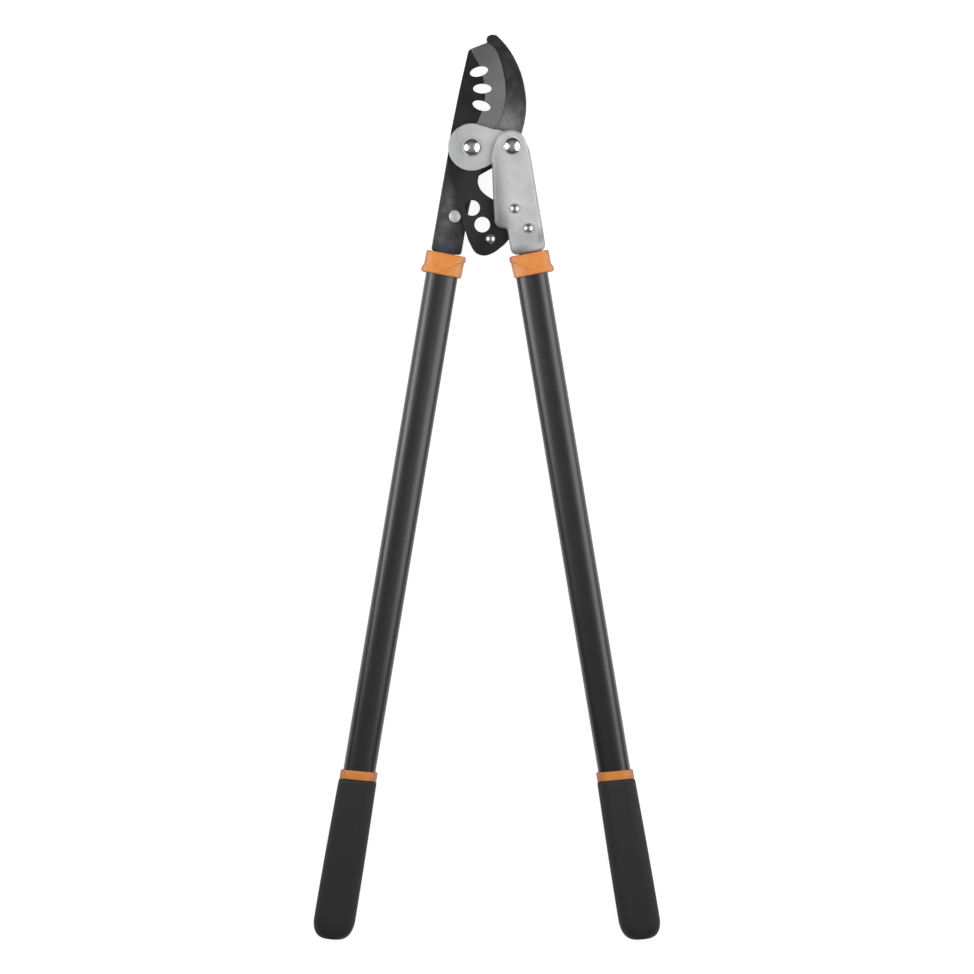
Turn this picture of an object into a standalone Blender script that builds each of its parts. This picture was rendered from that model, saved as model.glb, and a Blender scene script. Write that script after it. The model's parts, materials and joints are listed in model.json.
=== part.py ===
"""Compound-action bypass lopper, lying on its back with the jaw closed.

The hook, the left arm and their handle are the fixed side. The blade turns on the main pivot, the right arm
turns on the arm pivot, and a hidden link between the blade's tail and the right arm drives the blade.
Lengths are written in millimetres and turned into metres when a shape is made. Outlines are drawn about the
main pivot, with +Y towards the blade's tip and +X towards the right handle.
"""

import math

import bmesh
import bpy
from mathutils import Matrix, Vector

MM = 0.001

# Clearances and shared finish sizes
GAP = 0.3
EDGE_ROUND = 0.5
CHORD_ERROR = 0.06

# Pivots
MAIN_PIVOT = (0.0, 0.0)
PIVOT_SPACING = 34.9
ARM_PIVOT_RISE = 0.9
HUB_RADIUS = 20.5
BLADE_HUB_RADIUS = 19.5
ARM_BOSS_RADIUS = 11.6
ARM_EYE_RADIUS = 13.6
MAIN_BOLT_RADIUS = 4.0
ARM_BOLT_RADIUS = 4.0
BOLT_HEAD_RADIUS = 8.1
BOLT_HEAD_HEIGHT = 4.4
BOLT_HEAD_RIM = 0.6
BOLT_HEAD_TAPER = 0.2
BOLT_CHAMFER = 0.6
NUT_ACROSS_FLATS = 13.0
MAIN_NUT_HEIGHT = 8.0
ARM_NUT_HEIGHT = 5.0
WASHER_THICKNESS = 1.2
MAIN_WASHER_RADIUS = 10.5
ARM_WASHER_RADIUS = 8.5
BLADE_BUSH_WALL = 1.6
SPACER_WALL = 4.0

# Thickness of each layer of the head, from the back to the front
BACK_PLATE_THICKNESS = 3.0
HOOK_THICKNESS = 6.0
BLADE_THICKNESS = 4.0
PIVOT_PLATE_THICKNESS = 3.0
FRONT_PLATE_THICKNESS = 4.0
FRONT_PLATE_ROUND = 3.0

# Blade
BEVEL_LAND = 0.5
BEVEL_RUN_OUT = (12.0, 9.0)
OVAL_LENGTH = 15.9
OVAL_WIDTH = 8.3
OVAL_TILTS = (15.0, 0.0, -17.0)
TAIL_HOLE_RADIUS = 6.7

# Link and rivets
RIVET_RADIUS = 2.6
RIVET_HEAD_RADIUS = 4.4
RIVET_HEAD_HEIGHT = 2.4
LINK_THICKNESS = 5.6
LINK_WALL = 3.6
LINK_PLAY = 1.9
LINK_BUSH_WALL = 1.7
STOP_PIN_RADIUS = 5.2
STOP_PIN_RIM = 1.6
STOP_PIN_CROWN = 1.3
STOP_FROM_PIVOT = 58.2

# Handles
SPLAY = math.radians(9.45)
HANDLE_SPACING = 74.6
CENTRE_LINE = 13.0
COLLAR_DROP = 100.9
HANDLE_LENGTH = 590.5
SHANK_WIDTH = 26.3
SHANK_SHIFT = 0.45
SHANK_CORNER = 5.5
ARM_FOOT_WIDTH = 30.0
ARM_FOOT_SHIFT = 0.7
TANG_WIDTH = 16.0
TANG_THICKNESS = 6.0
TANG_DEPTH = 62.0
TANG_TIP = 6.5
TANG_FILLET = 0.8
TANG_END_ROUND = 3.0
TANG_NECK_ROUND = 4.0
TANG_EYE_RADIUS = 9.0
TANG_EYE_REACH = 9.5
COLLAR_HEIGHT = 19.0
COLLAR_WIDTH = 34.0
COLLAR_THICKNESS = 26.0
COLLAR_CORNER = 7.5
COLLAR_LID = 3.2
COLLAR_BULGE = 2.2
COLLAR_RECESS = 0.8
SHOULDER_GAP = 0.6
TUBE_WIDTH = 27.8
TUBE_THICKNESS = 19.6
TUBE_WALL = 1.5
TUBE_FULLNESS = 0.84
TUBE_ROLL = math.radians(9.0)
TUBE_RIVET_RADIUS = 2.5
RING_HEIGHT = 8.0
RING_WIDTH = 31.8
RING_THICKNESS = 25.6
GRIP_LENGTH = 139.0
GRIP_TOP_WIDTH = 32.7
GRIP_WIDTH = 35.5
GRIP_THICKNESS = 27.0
GRIP_SKEW = math.radians(4.0)
GRIP_END_ROUND = 17.7
GRIP_CORNER = 9.0
GRIP_END_ANGLE = 85.0
GRIP_END_FULLNESS = 0.58
GRIP_END_THINNING = 5.0
GRIP_END_STEPS = 6
GRIP_END_WALL = 27.0

LEFT = -1
RIGHT = 1

ARM_PIVOT = (PIVOT_SPACING, ARM_PIVOT_RISE)

# Heights of the layers above the plane of the handle axes
HOOK_BACK = -HOOK_THICKNESS / 2
HOOK_FRONT = HOOK_THICKNESS / 2
BLADE_BACK = HOOK_FRONT + GAP
BLADE_FRONT = BLADE_BACK + BLADE_THICKNESS
PIVOT_PLATE_BACK = BLADE_FRONT + GAP
PIVOT_PLATE_FRONT = PIVOT_PLATE_BACK + PIVOT_PLATE_THICKNESS
FRONT_PLATE_BACK = PIVOT_PLATE_FRONT + GAP
FRONT_PLATE_FRONT = FRONT_PLATE_BACK + FRONT_PLATE_THICKNESS
BACK_PLATE_FRONT = HOOK_BACK - GAP
BACK_PLATE_BACK = BACK_PLATE_FRONT - BACK_PLATE_THICKNESS
FLOOR = -GRIP_THICKNESS / 2

COLOURS = {
    "forging": ((0.045, 0.046, 0.048), 0.55, 0.7),
    "blade_coat": ((0.015, 0.015, 0.016), 0.35, 0.2),
    "bright_steel": ((0.55, 0.56, 0.57), 0.35, 1.0),
    "rivet_chrome": ((0.75, 0.76, 0.78), 0.08, 1.0),
    "tube_black": ((0.02, 0.02, 0.022), 0.22, 0.5),
    "orange_plastic": ((0.78, 0.27, 0.06), 0.4, 0.0),
    "grip_rubber": ((0.025, 0.025, 0.027), 0.75, 0.0),
    "sleeve_plastic": ((0.05, 0.05, 0.05), 0.6, 0.0),
    "bush_bronze": ((0.5, 0.33, 0.14), 0.4, 1.0),
}


# Outlines

def arc_steps(radius, angle):
    """How many straight pieces an arc takes to stay within the chord error."""
    step = 2 * math.acos(1 - min(CHORD_ERROR / radius, 0.05))
    return max(2, math.ceil(abs(angle) / step))


def arc(centre, radius, start, end):
    """Points on a circle from one angle to another, in degrees."""
    start, end = math.radians(start), math.radians(end)
    steps = arc_steps(radius, end - start)
    angles = [start + (end - start) * i / steps for i in range(steps + 1)]
    return [(centre[0] + radius * math.cos(a), centre[1] + radius * math.sin(a)) for a in angles]


def smooth(points, steps=3):
    """A smooth curve through the points, ends included."""
    spaced = [Vector(p) for p in points]
    ends = [2 * spaced[0] - spaced[1]] + spaced + [2 * spaced[-1] - spaced[-2]]
    found = []
    for a, b, c, d in zip(ends, ends[1:], ends[2:], ends[3:]):
        for i in range(steps):
            t = i / steps
            here = 2 * b + (c - a) * t + (2 * a - 5 * b + 4 * c - d) * t * t + (3 * b - a - 3 * c + d) * t**3
            found.append(tuple(here / 2))
    return found + [tuple(spaced[-1])]


def rounded(corners):
    """A closed outline in which each corner written (x, y, radius) is an arc tangent to its two sides."""
    found = []
    for i, corner in enumerate(corners):
        here = Vector(corner[:2])
        if len(corner) == 2:
            found.append(tuple(here))
            continue
        before = Vector(corners[i - 1][:2]) - here
        after = Vector(corners[(i + 1) % len(corners)][:2]) - here
        turn = math.pi - before.angle(after)
        reach = corner[2] * math.tan(turn / 2)
        reach = min(reach, 0.49 * before.length, 0.49 * after.length)
        radius = reach / math.tan(turn / 2)
        towards = (before.normalized() + after.normalized()).normalized()
        centre = here + towards * radius / math.cos(turn / 2)
        first = here + before.normalized() * reach - centre
        steps = arc_steps(radius, turn)
        sign = 1 if before.cross(after) < 0 else -1
        for k in range(steps + 1):
            found.append(tuple(centre + Matrix.Rotation(sign * turn * k / steps, 2) @ first))
    return found


def oval(centre, length, width, tilt=0.0, steps=28):
    """An ellipse, its long axis tilted by an angle in degrees."""
    turn = Matrix.Rotation(math.radians(tilt), 2)
    found = []
    for i in range(steps):
        a = 2 * math.pi * i / steps
        found.append(tuple(Vector(centre) + turn @ Vector((length / 2 * math.cos(a), width / 2 * math.sin(a)))))
    return found


def rounded_box(width, height, radius):
    """A rounded rectangle about the origin."""
    x, y = width / 2, height / 2
    return rounded([(x, y, radius), (-x, y, radius), (-x, -y, radius), (x, -y, radius)])


def tube_section(side, inset=0.0, steps=36):
    """The oval of the handle tubes, fuller than an ellipse, drawn smaller by an inset. It is turned about the
    handle's axis, so that its flat faces lean towards the centre line."""
    turn = Matrix.Rotation(side * TUBE_ROLL, 2)
    found = []
    for i in range(steps):
        a = 2 * math.pi * i / steps
        c, s = math.cos(a), math.sin(a)
        x = (TUBE_WIDTH / 2 - inset) * math.copysign(abs(c) ** TUBE_FULLNESS, c)
        y = (TUBE_THICKNESS / 2 - inset) * math.copysign(abs(s) ** TUBE_FULLNESS, s)
        found.append(tuple(turn @ Vector((x, y))))
    return found


def on_handle(side, along, inward):
    """A point of the tool's plane, from a distance down a handle's axis and one towards the centre line."""
    start = Vector((CENTRE_LINE + side * HANDLE_SPACING / 2, -COLLAR_DROP))
    down = Vector((side * math.sin(SPLAY), -math.cos(SPLAY)))
    across = Vector((-side * math.cos(SPLAY), -math.sin(SPLAY)))
    return tuple(start + down * along + across * inward)


def down_handle(side, point):
    """How far down a handle's axis a point lies, from the middle of the collar."""
    start = Vector(on_handle(side, 0, 0))
    return (Vector(point) - start).dot(Vector(on_handle(side, 1, 0)) - start)


def beside_arm_pivot(x, y):
    return (ARM_PIVOT[0] + x, ARM_PIVOT[1] + y)


# Distances down a handle from the middle of its collar
COLLAR_TOP = -COLLAR_HEIGHT / 2
SHOULDER = COLLAR_TOP - SHOULDER_GAP
TUBE_TOP = COLLAR_TOP + COLLAR_LID + GAP
TANG_END = COLLAR_TOP + TANG_DEPTH
GRIP_TOP = HANDLE_LENGTH - GRIP_LENGTH
RING_TOP = GRIP_TOP - GAP - RING_HEIGHT
GRIP_BORE_END = HANDLE_LENGTH - GRIP_END_WALL
TUBE_END = GRIP_BORE_END - GAP

# Rivet places, the tail's about the main pivot and the arm's about the arm pivot
TAIL_RIVET = (16.4, -79.1)
LINK_RIVET = beside_arm_pivot(2.2, -54.1)
TANG_RIVET = beside_arm_pivot(14.1, -71.0)
TAIL_HOLES = ((0.3, -52.4), (9.0, -66.8))
OVAL_CENTRES = ((6.2, 65.2), (9.1, 50.5), (8.4, 35.8))

# Where the round stretches of the outlines start and end, in degrees
HOOK_HUB_END = 70
HOOK_BOSS_SPAN = (15, -95)
BLADE_HUB_SPAN = (24, -55)
PLATE_HUB_SPAN = (280, 76)
PLATE_BOSS_SPAN = (90, -100)
ARM_EYE_SPAN = (150, 12)

# Curves of the jaw, about the main pivot
HOOK_OUTER_EDGE = [
    (12.6, 93.4), (13.7, 95.8), (17.0, 97.3), (20.2, 97.0), (23.4, 94.9), (33.1, 83.4),
    (42.2, 65.2), (46.6, 45.5), (46.9, 31.5), (45.1, 19.6), (42.9, 11.5),
]
HOOK_INNER_EDGE = [(19.6, 20.5), (21.8, 27.5), (24.0, 42.5), (22.6, 61.0), (18.6, 77.5), (13.1, 89.8)]
CUTTING_EDGE = [
    (13.3, 90.4), (17.2, 88.0), (20.8, 84.0), (23.9, 77.2), (26.3, 68.9), (28.3, 59.8),
    (29.2, 48.0), (28.2, 36.6), (25.6, 27.6), (21.4, 17.5),
]
BEVEL_TOP_EDGE = [
    (-1.2, 84.6), (2.4, 77.8), (5.9, 71.9), (8.6, 64.2), (10.4, 57.2), (11.5, 50.0),
    (11.4, 42.5), (9.6, 33.6), (7.2, 26.8), (3.6, 18.4),
]
INNER_EDGE_BEND = (-2.2, -52.0)
SPINE = [(-18.2, 12.3), (-10.75, 49.0, 400.0), (-2.8, 83.9, 4.5), (10.9, 89.5, 2.0)]
PLATE_UPPER_EDGE = [(7.6, 18.8), (12.6, 17.4), (17.4, 15.8), (22.0, 15.1), (28.9, 13.6)]
PLATE_LOWER_EDGE = [(25.9, -11.4), (17.9, -14.2), (11.5, -17.4), (6.5, -19.3)]
TAIL_INNER_EDGE = [(9.0, -17.6), (6.1, -25.0), (5.4, -31.0), (8.1, -37.3), (13.9, -42.4), (21.2, -46.6)]
TAIL_HIDDEN_EDGE = [(26.9, -51.0), (31.0, -58.5), (33.4, -68.0), (32.6, -79.0)]
TAIL_FOOT = [
    (27.8, -84.3), (19.2, -90.8), (10.8, -93.6), (3.2, -91.0), (-1.6, -83.2), (-4.6, -75.4),
]
TAIL_OUTER_EDGE = [(-9.3, -58.2), (-13.2, -43.7), (-18.6, -25.8), (-21.0, -16.0), (-20.2, -2.5)]


# Inner edges of the right arm's plates and the middle of its eye, about the arm pivot
ARM_EYE_CENTRE = (-1.4, 0.2)
ARM_NOTCH = (-4.4, -71.6)
ARM_NOTCH_ROUND = 2.4
ARM_LOBE = [(-15.1, -69.8, 8.4), (-16.8, -37.7, 40.0)]
ARM_EAR = [(-17.4, -17.0), (-18.6, -9.6), (-16.6, 0.2)]
ARM_BACK_EDGE = [(-14.8, -66.0, 10.0), (-15.0, -16.0, 12.0)]

# The raised sweep on a collar's face, from its inner to its outer side: (inward of the axis, down the handle)
COLLAR_SWEEP = [(20.0, -0.5), (11.0, 0.6), (5.4, 2.9), (1.4, 6.6), (-3.5, 8.4), (-9.0, 12.5)]


# Making and placing objects

def collection(name):
    made = bpy.data.collections.new(name)
    bpy.context.scene.collection.children.link(made)
    return made


def material(name):
    colour, roughness, metallic = COLOURS[name]
    made = bpy.data.materials.new(name)
    made.use_nodes = True
    made.diffuse_color = (*colour, 1.0)
    shader = made.node_tree.nodes["Principled BSDF"]
    shader.inputs["Base Color"].default_value = (*colour, 1.0)
    shader.inputs["Roughness"].default_value = roughness
    shader.inputs["Metallic"].default_value = metallic
    return made


def pivot(name, place, parent=None, turn=None):
    """An empty on a joint's axis, or at the top of a handle."""
    empty = bpy.data.objects.new(name, None)
    PARTS.objects.link(empty)
    empty.empty_display_size = 0.03
    world = Matrix.Translation(Vector((place[0], place[1], 0.0)) * MM)
    if turn is not None:
        world = world @ turn
    empty.matrix_world = world
    if parent is not None:
        bpy.context.view_layer.update()
        empty.parent = parent
        empty.matrix_parent_inverse = parent.matrix_world.inverted()
    return empty


def add_object(name, mesh, finish, parent, local=Matrix.Identity(4)):
    """A named piece under its pivot, placed in the pivot's own frame."""
    made = bpy.data.objects.new(name, mesh)
    (PARTS if finish else CUTTERS).objects.link(made)
    made.parent = parent
    made.matrix_local = local
    if finish:
        mesh.materials.append(MATERIALS[finish])
    else:
        made.hide_render = True
        made.display_type = "WIRE"
    mesh.shade_smooth()
    mesh.set_sharp_from_angle(angle=math.radians(30))
    return made


def flat_mesh(name, outlines, low, high):
    """The mesh of a filled 2D curve, its first outline the rim and the others its holes."""
    curve = bpy.data.curves.new(name, "CURVE")
    curve.dimensions = "2D"
    curve.fill_mode = "BOTH"
    curve.extrude = (high - low) / 2 * MM
    for outline in outlines:
        spline = curve.splines.new("POLY")
        spline.points.add(len(outline) - 1)
        for point, (x, y) in zip(spline.points, outline):
            point.co = (x * MM, y * MM, 0.0, 1.0)
        spline.use_cyclic_u = True
    drawn = bpy.data.objects.new(name + "_curve", curve)
    bpy.context.scene.collection.objects.link(drawn)
    graph = bpy.context.evaluated_depsgraph_get()
    mesh = bpy.data.meshes.new_from_object(drawn.evaluated_get(graph))
    bpy.data.objects.remove(drawn)
    bpy.data.curves.remove(curve)
    mesh.materials.clear()
    mesh.name = name
    work = bmesh.new()
    work.from_mesh(mesh)
    bmesh.ops.remove_doubles(work, verts=work.verts, dist=1e-6)
    if len(outlines) == 1:
        bmesh.ops.dissolve_limit(work, angle_limit=0.001, verts=work.verts, edges=work.edges)
    bmesh.ops.translate(work, verts=work.verts, vec=(0, 0, (low + high) / 2 * MM))
    bmesh.ops.recalc_face_normals(work, faces=work.faces)
    work.to_mesh(mesh)
    work.free()
    return mesh


def plate(name, outlines, low, high, finish, parent, centre=(0.0, 0.0)):
    """A flat piece between two heights. Its outlines are drawn about the main pivot."""
    moved = [[(x - centre[0], y - centre[1]) for x, y in outline] for outline in outlines]
    return add_object(name, flat_mesh(name, moved, low, high), finish, parent)


def turned(name, profile, finish, parent, place=(0.0, 0.0), steps=24, turn=None):
    """A turned piece about its own Z, from (radius, height) points running from top to bottom."""
    mesh = bpy.data.meshes.new(name)
    points = [(r * MM, 0.0, z * MM) for r, z in profile]
    closed = profile[0][0] > 0
    count = len(points)
    edges = [(i, i + 1) for i in range(count - 1)] + ([(count - 1, 0)] if closed else [])
    mesh.from_pydata(points, edges, [])
    local = Matrix.Translation(Vector((place[0], place[1], 0.0)) * MM)
    if turn is not None:
        local = local @ turn
    made = add_object(name, mesh, finish, parent, local)
    screw = made.modifiers.new("turn", "SCREW")
    screw.axis = "Z"
    screw.steps = steps
    screw.render_steps = steps
    screw.use_merge_vertices = True
    screw.merge_threshold = 0.000001
    screw.use_smooth_shade = True
    return made


def cylinder_cutter(name, radius, low, high, parent, place=(0.0, 0.0), sides=24):
    """A round cutter between two heights."""
    mesh = bpy.data.meshes.new(name)
    work = bmesh.new()
    bmesh.ops.create_cone(
        work, cap_ends=True, segments=sides, radius1=radius * MM, radius2=radius * MM, depth=(high - low) * MM
    )
    work.to_mesh(mesh)
    work.free()
    local = Matrix.Translation(Vector((place[0], place[1], (low + high) / 2)) * MM)
    return add_object(name, mesh, None, parent, local)


def box_cutter(name, low, high, parent, local=Matrix.Identity(4)):
    """A box cutter between two opposite corners."""
    mesh = bpy.data.meshes.new(name)
    work = bmesh.new()
    bmesh.ops.create_cube(work, size=1.0)
    size = Vector(high) - Vector(low)
    bmesh.ops.scale(work, verts=work.verts, vec=size * MM)
    bmesh.ops.translate(work, verts=work.verts, vec=(Vector(high) + Vector(low)) / 2 * MM)
    work.to_mesh(mesh)
    work.free()
    return add_object(name, mesh, None, parent, local)


def cut(piece, cutter):
    modifier = piece.modifiers.new(cutter.name, "BOOLEAN")
    modifier.operation = "DIFFERENCE"
    modifier.solver = "EXACT"
    modifier.object = cutter


def ease_edges(piece, width, segments=1):
    """Rounds every sharp edge of a piece by the same width."""
    bevel = piece.modifiers.new("edges", "BEVEL")
    bevel.width = width * MM
    bevel.segments = segments
    bevel.limit_method = "ANGLE"
    bevel.angle_limit = math.radians(50)
    bevel.use_clamp_overlap = False


def round_front(piece, height, width, segments):
    """Rounds only the edges that lie at one height, as on the outside of a forged plate."""
    mesh = piece.data
    weights = mesh.attributes.new("bevel_weight_edge", "FLOAT", "EDGE")
    for edge in mesh.edges:
        ends = [mesh.vertices[i].co.z for i in edge.vertices]
        if all(abs(z - height * MM) < 1e-6 for z in ends):
            weights.data[edge.index].value = 1.0
    bevel = piece.modifiers.new("round", "BEVEL")
    bevel.width = width * MM
    bevel.segments = segments
    bevel.limit_method = "WEIGHT"
    bevel.use_clamp_overlap = False


def loft(name, rings, finish, parent):
    """A closed body through rings of as many points each, given in millimetres."""
    mesh = bpy.data.meshes.new(name)
    work = bmesh.new()
    rows = [[work.verts.new(Vector(p) * MM) for p in ring] for ring in rings]
    for low, high in zip(rows, rows[1:]):
        for i in range(len(low)):
            k = (i + 1) % len(low)
            work.faces.new((low[i], low[k], high[k], high[i]))
    work.faces.new(rows[0])
    work.faces.new(rows[-1])
    bmesh.ops.recalc_face_normals(work, faces=work.faces)
    work.to_mesh(mesh)
    work.free()
    return add_object(name, mesh, finish, parent)


def dome(radius, height, base, steps=7):
    """The (radius, height) points of a shallow spherical head, from its crown to its rim."""
    sphere = (radius**2 + height**2) / (2 * height)
    widest = math.asin(radius / sphere)
    found = []
    for i in range(steps + 1):
        a = widest * i / steps
        found.append((sphere * math.sin(a), base + height - sphere * (1 - math.cos(a))))
    return found


# Fixed side

def hook_outline():
    """Hook, hub, arm boss, web and the left arm down to the end of its tang, clockwise from the hook's tip."""
    inner = SHANK_WIDTH / 2 + SHANK_SHIFT
    outer = SHANK_WIDTH / 2 - SHANK_SHIFT
    tang = TANG_WIDTH / 2
    lean = math.degrees(SPLAY)
    return rounded(
        smooth(HOOK_OUTER_EDGE)
        + arc(ARM_PIVOT, ARM_BOSS_RADIUS, *HOOK_BOSS_SPAN)
        + [
            (HUB_RADIUS - 4.0, -HUB_RADIUS + 2.0, 8.0),
            (4.8, -HUB_RADIUS - 4.6, 7.0),
            (*INNER_EDGE_BEND, 60.0),
            (*on_handle(LEFT, SHOULDER, inner), SHANK_CORNER),
            (*on_handle(LEFT, SHOULDER, tang), TANG_FILLET),
            (*on_handle(LEFT, TANG_END, tang), TANG_END_ROUND),
            (*on_handle(LEFT, TANG_END, -tang), TANG_END_ROUND),
            (*on_handle(LEFT, SHOULDER, -tang), TANG_FILLET),
            (*on_handle(LEFT, SHOULDER, -outer), SHANK_CORNER),
        ]
        + arc(MAIN_PIVOT, HUB_RADIUS, 180 + lean, HOOK_HUB_END)
        + [(16.4, 14.6, 2.0)]
        + smooth(HOOK_INNER_EDGE)
    )


def make_hook_arm(parent):
    made = plate("hook_arm", [hook_outline()], HOOK_BACK, HOOK_FRONT, "forging", parent)
    ease_edges(made, EDGE_ROUND)
    low, high = HOOK_BACK - 1, HOOK_FRONT + 1
    cut(made, cylinder_cutter("hook_main_bore", MAIN_BOLT_RADIUS + GAP, low, high, parent))
    cut(made, cylinder_cutter("hook_arm_bore", ARM_BOLT_RADIUS + GAP, low, high, parent, ARM_PIVOT))
    stop_bore = STOP_PIN_RADIUS - STOP_PIN_RIM + GAP
    cut(made, cylinder_cutter("hook_stop_bore", stop_bore, low, high, parent, stop_place()))
    return made


def tail_edge_at(height):
    """The point of the tail's outer edge at a height, and the edge's direction there."""
    edge = smooth([TAIL_FOOT[-1]] + TAIL_OUTER_EDGE)
    for a, b in zip(edge, edge[1:]):
        if a[1] <= height <= b[1]:
            share = (height - a[1]) / (b[1] - a[1])
            return Vector(a).lerp(Vector(b), share), (Vector(b) - Vector(a)).normalized()
    return Vector(edge[0]), (Vector(edge[1]) - Vector(edge[0])).normalized()


def stop_place():
    """The stop pin's centre: its rim meets the tail's outer edge when the jaw is closed."""
    point, along = tail_edge_at(-STOP_FROM_PIVOT)
    outward = Vector((-along.y, along.x))
    return tuple(point + outward * (STOP_PIN_RADIUS + GAP))


def make_stop_pin(parent):
    """A pin riveted through the left arm, its low domed head as tall as the blade."""
    inner = STOP_PIN_RADIUS - STOP_PIN_RIM
    top = BLADE_FRONT
    profile = dome(STOP_PIN_RADIUS, STOP_PIN_CROWN, top - STOP_PIN_CROWN, 4) + [
        (STOP_PIN_RADIUS, BLADE_BACK),
        (inner, BLADE_BACK),
        (inner, HOOK_BACK),
        (0.0, HOOK_BACK),
    ]
    return turned("stop_pin", profile, "bright_steel", parent, stop_place())


def make_pivot_plate(parent):
    """The bright plate that ties the two pivots together in front of the blade."""
    outline = rounded(
        arc(MAIN_PIVOT, HUB_RADIUS, *PLATE_HUB_SPAN)
        + smooth(PLATE_UPPER_EDGE)
        + arc(ARM_PIVOT, ARM_BOSS_RADIUS, *PLATE_BOSS_SPAN)
        + smooth(PLATE_LOWER_EDGE)
    )
    made = plate("pivot_plate", [outline], PIVOT_PLATE_BACK, PIVOT_PLATE_FRONT, "bright_steel", parent)
    ease_edges(made, EDGE_ROUND)
    low, high = PIVOT_PLATE_BACK - 1, PIVOT_PLATE_FRONT + 1
    cut(made, cylinder_cutter("plate_main_bore", MAIN_BOLT_RADIUS + GAP, low, high, parent))
    cut(made, cylinder_cutter("plate_arm_bore", ARM_BOLT_RADIUS + GAP, low, high, parent, ARM_PIVOT))
    return made


def bolt(name, radius, head_base, parent, place):
    """A domed bolt whose end is level with the backs of the grips."""
    profile = dome(BOLT_HEAD_RADIUS, BOLT_HEAD_HEIGHT - BOLT_HEAD_RIM, head_base + BOLT_HEAD_RIM) + [
        (BOLT_HEAD_RADIUS - BOLT_HEAD_TAPER, head_base),
        (radius, head_base),
        (radius, FLOOR + BOLT_CHAMFER),
        (radius - BOLT_CHAMFER, FLOOR),
        (0.0, FLOOR),
    ]
    return turned(name, profile, "rivet_chrome", parent, place)


def washer(name, inner, outer, front, parent, place, thickness=None, finish="bright_steel"):
    """A flat ring whose front face is at a height."""
    back = front - (thickness or WASHER_THICKNESS)
    profile = [(inner, front), (outer, front), (outer, back), (inner, back)]
    return turned(name, profile, finish, parent, place)


def nut(name, bore, height, front, parent, place):
    """A hexagon nut, its front face at a height, with its corners turned down."""
    mesh = bpy.data.meshes.new(name)
    work = bmesh.new()
    radius = NUT_ACROSS_FLATS / 2 / math.cos(math.pi / 6)
    bmesh.ops.create_cone(
        work, cap_ends=True, segments=6, radius1=radius * MM, radius2=radius * MM, depth=height * MM
    )
    work.to_mesh(mesh)
    work.free()
    local = Matrix.Translation(Vector((place[0], place[1], front - height / 2)) * MM)
    made = add_object(name, mesh, "bright_steel", parent, local)
    ease_edges(made, EDGE_ROUND)
    cutter = cylinder_cutter(name + "_bore", bore, front - height - 1, front + 1, parent, place)
    cut(made, cutter)
    return made


def make_fixed_fasteners(parent):
    bolt("main_pivot_bolt", MAIN_BOLT_RADIUS, PIVOT_PLATE_FRONT + GAP, parent, MAIN_PIVOT)
    bolt("arm_pivot_bolt", ARM_BOLT_RADIUS, FRONT_PLATE_FRONT + GAP, parent, ARM_PIVOT)
    bore = MAIN_BOLT_RADIUS + GAP
    washer("main_pivot_washer", bore, MAIN_WASHER_RADIUS, HOOK_BACK - GAP, parent, MAIN_PIVOT)
    nut("main_pivot_nut", bore, MAIN_NUT_HEIGHT, HOOK_BACK - WASHER_THICKNESS - 2 * GAP, parent, MAIN_PIVOT)
    bore = ARM_BOLT_RADIUS + GAP
    washer("arm_pivot_washer", bore, ARM_WASHER_RADIUS, BACK_PLATE_BACK - GAP, parent, ARM_PIVOT)
    nut("arm_pivot_nut", bore, ARM_NUT_HEIGHT, BACK_PLATE_BACK - WASHER_THICKNESS - 2 * GAP, parent, ARM_PIVOT)
    washer(
        "pivot_spacer", bore, ARM_BOLT_RADIUS + SPACER_WALL, BLADE_FRONT, parent, ARM_PIVOT,
        thickness=BLADE_THICKNESS,
    )


# Blade

def blade_outline():
    """Tip, cutting edge, hub, tail and spine, clockwise."""
    return rounded(
        smooth(CUTTING_EDGE)
        + arc(MAIN_PIVOT, BLADE_HUB_RADIUS, *BLADE_HUB_SPAN)
        + smooth(TAIL_INNER_EDGE)
        + smooth(TAIL_HIDDEN_EDGE)
        + smooth(TAIL_FOOT + TAIL_OUTER_EDGE)
        + SPINE
    )


def bevel_cutter(parent):
    """The ground bevel: a wedge whose lower face falls from the bevel's top edge to the cutting edge."""
    ridge = [Vector((*p, BLADE_FRONT)) for p in smooth(BEVEL_TOP_EDGE, 2)]
    edge = [Vector((*p, BLADE_BACK + BEVEL_LAND)) for p in smooth(CUTTING_EDGE, 2)]
    past_tip = (ridge[0] - ridge[1]).normalized() * BEVEL_RUN_OUT[0]
    past_heel = (ridge[-1] - ridge[-2]).normalized() * BEVEL_RUN_OUT[1]
    first = (ridge[0] + past_tip, edge[0] + past_tip)
    last = (ridge[-1] + past_heel, edge[-1] + past_heel)
    pairs = [first] + list(zip(ridge, edge)) + [last]
    rings = []
    for top, low in pairs:
        fall = low - top
        inner = top - fall * 0.15
        outer = low + fall * 0.5
        lid = BLADE_FRONT + 4
        rings.append([inner, outer, (outer.x, outer.y, lid), (inner.x, inner.y, lid)])
    return loft("bevel_cutter", rings, None, parent)


def make_blade(parent):
    made = plate("blade", [blade_outline()], BLADE_BACK, BLADE_FRONT, "blade_coat", parent)
    cut(made, bevel_cutter(parent))
    low, high = BLADE_BACK - 1, BLADE_FRONT + 1
    cut(made, cylinder_cutter("blade_main_bore", bush_outer() + GAP, low, high, parent))
    cut(made, cylinder_cutter("blade_tail_bore", RIVET_RADIUS + GAP, low, high, parent, TAIL_RIVET))
    for i, place in enumerate(TAIL_HOLES):
        cut(made, cylinder_cutter(f"tail_hole_{i + 1}", TAIL_HOLE_RADIUS, low, high, parent, place, sides=32))
    for i, (place, tilt) in enumerate(zip(OVAL_CENTRES, OVAL_TILTS)):
        outline = oval(place, OVAL_LENGTH, OVAL_WIDTH, tilt)
        cut(made, plate(f"oval_{i + 1}", [outline], low, high, None, parent))
    return made


def bush_outer():
    return MAIN_BOLT_RADIUS + GAP + BLADE_BUSH_WALL


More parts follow.
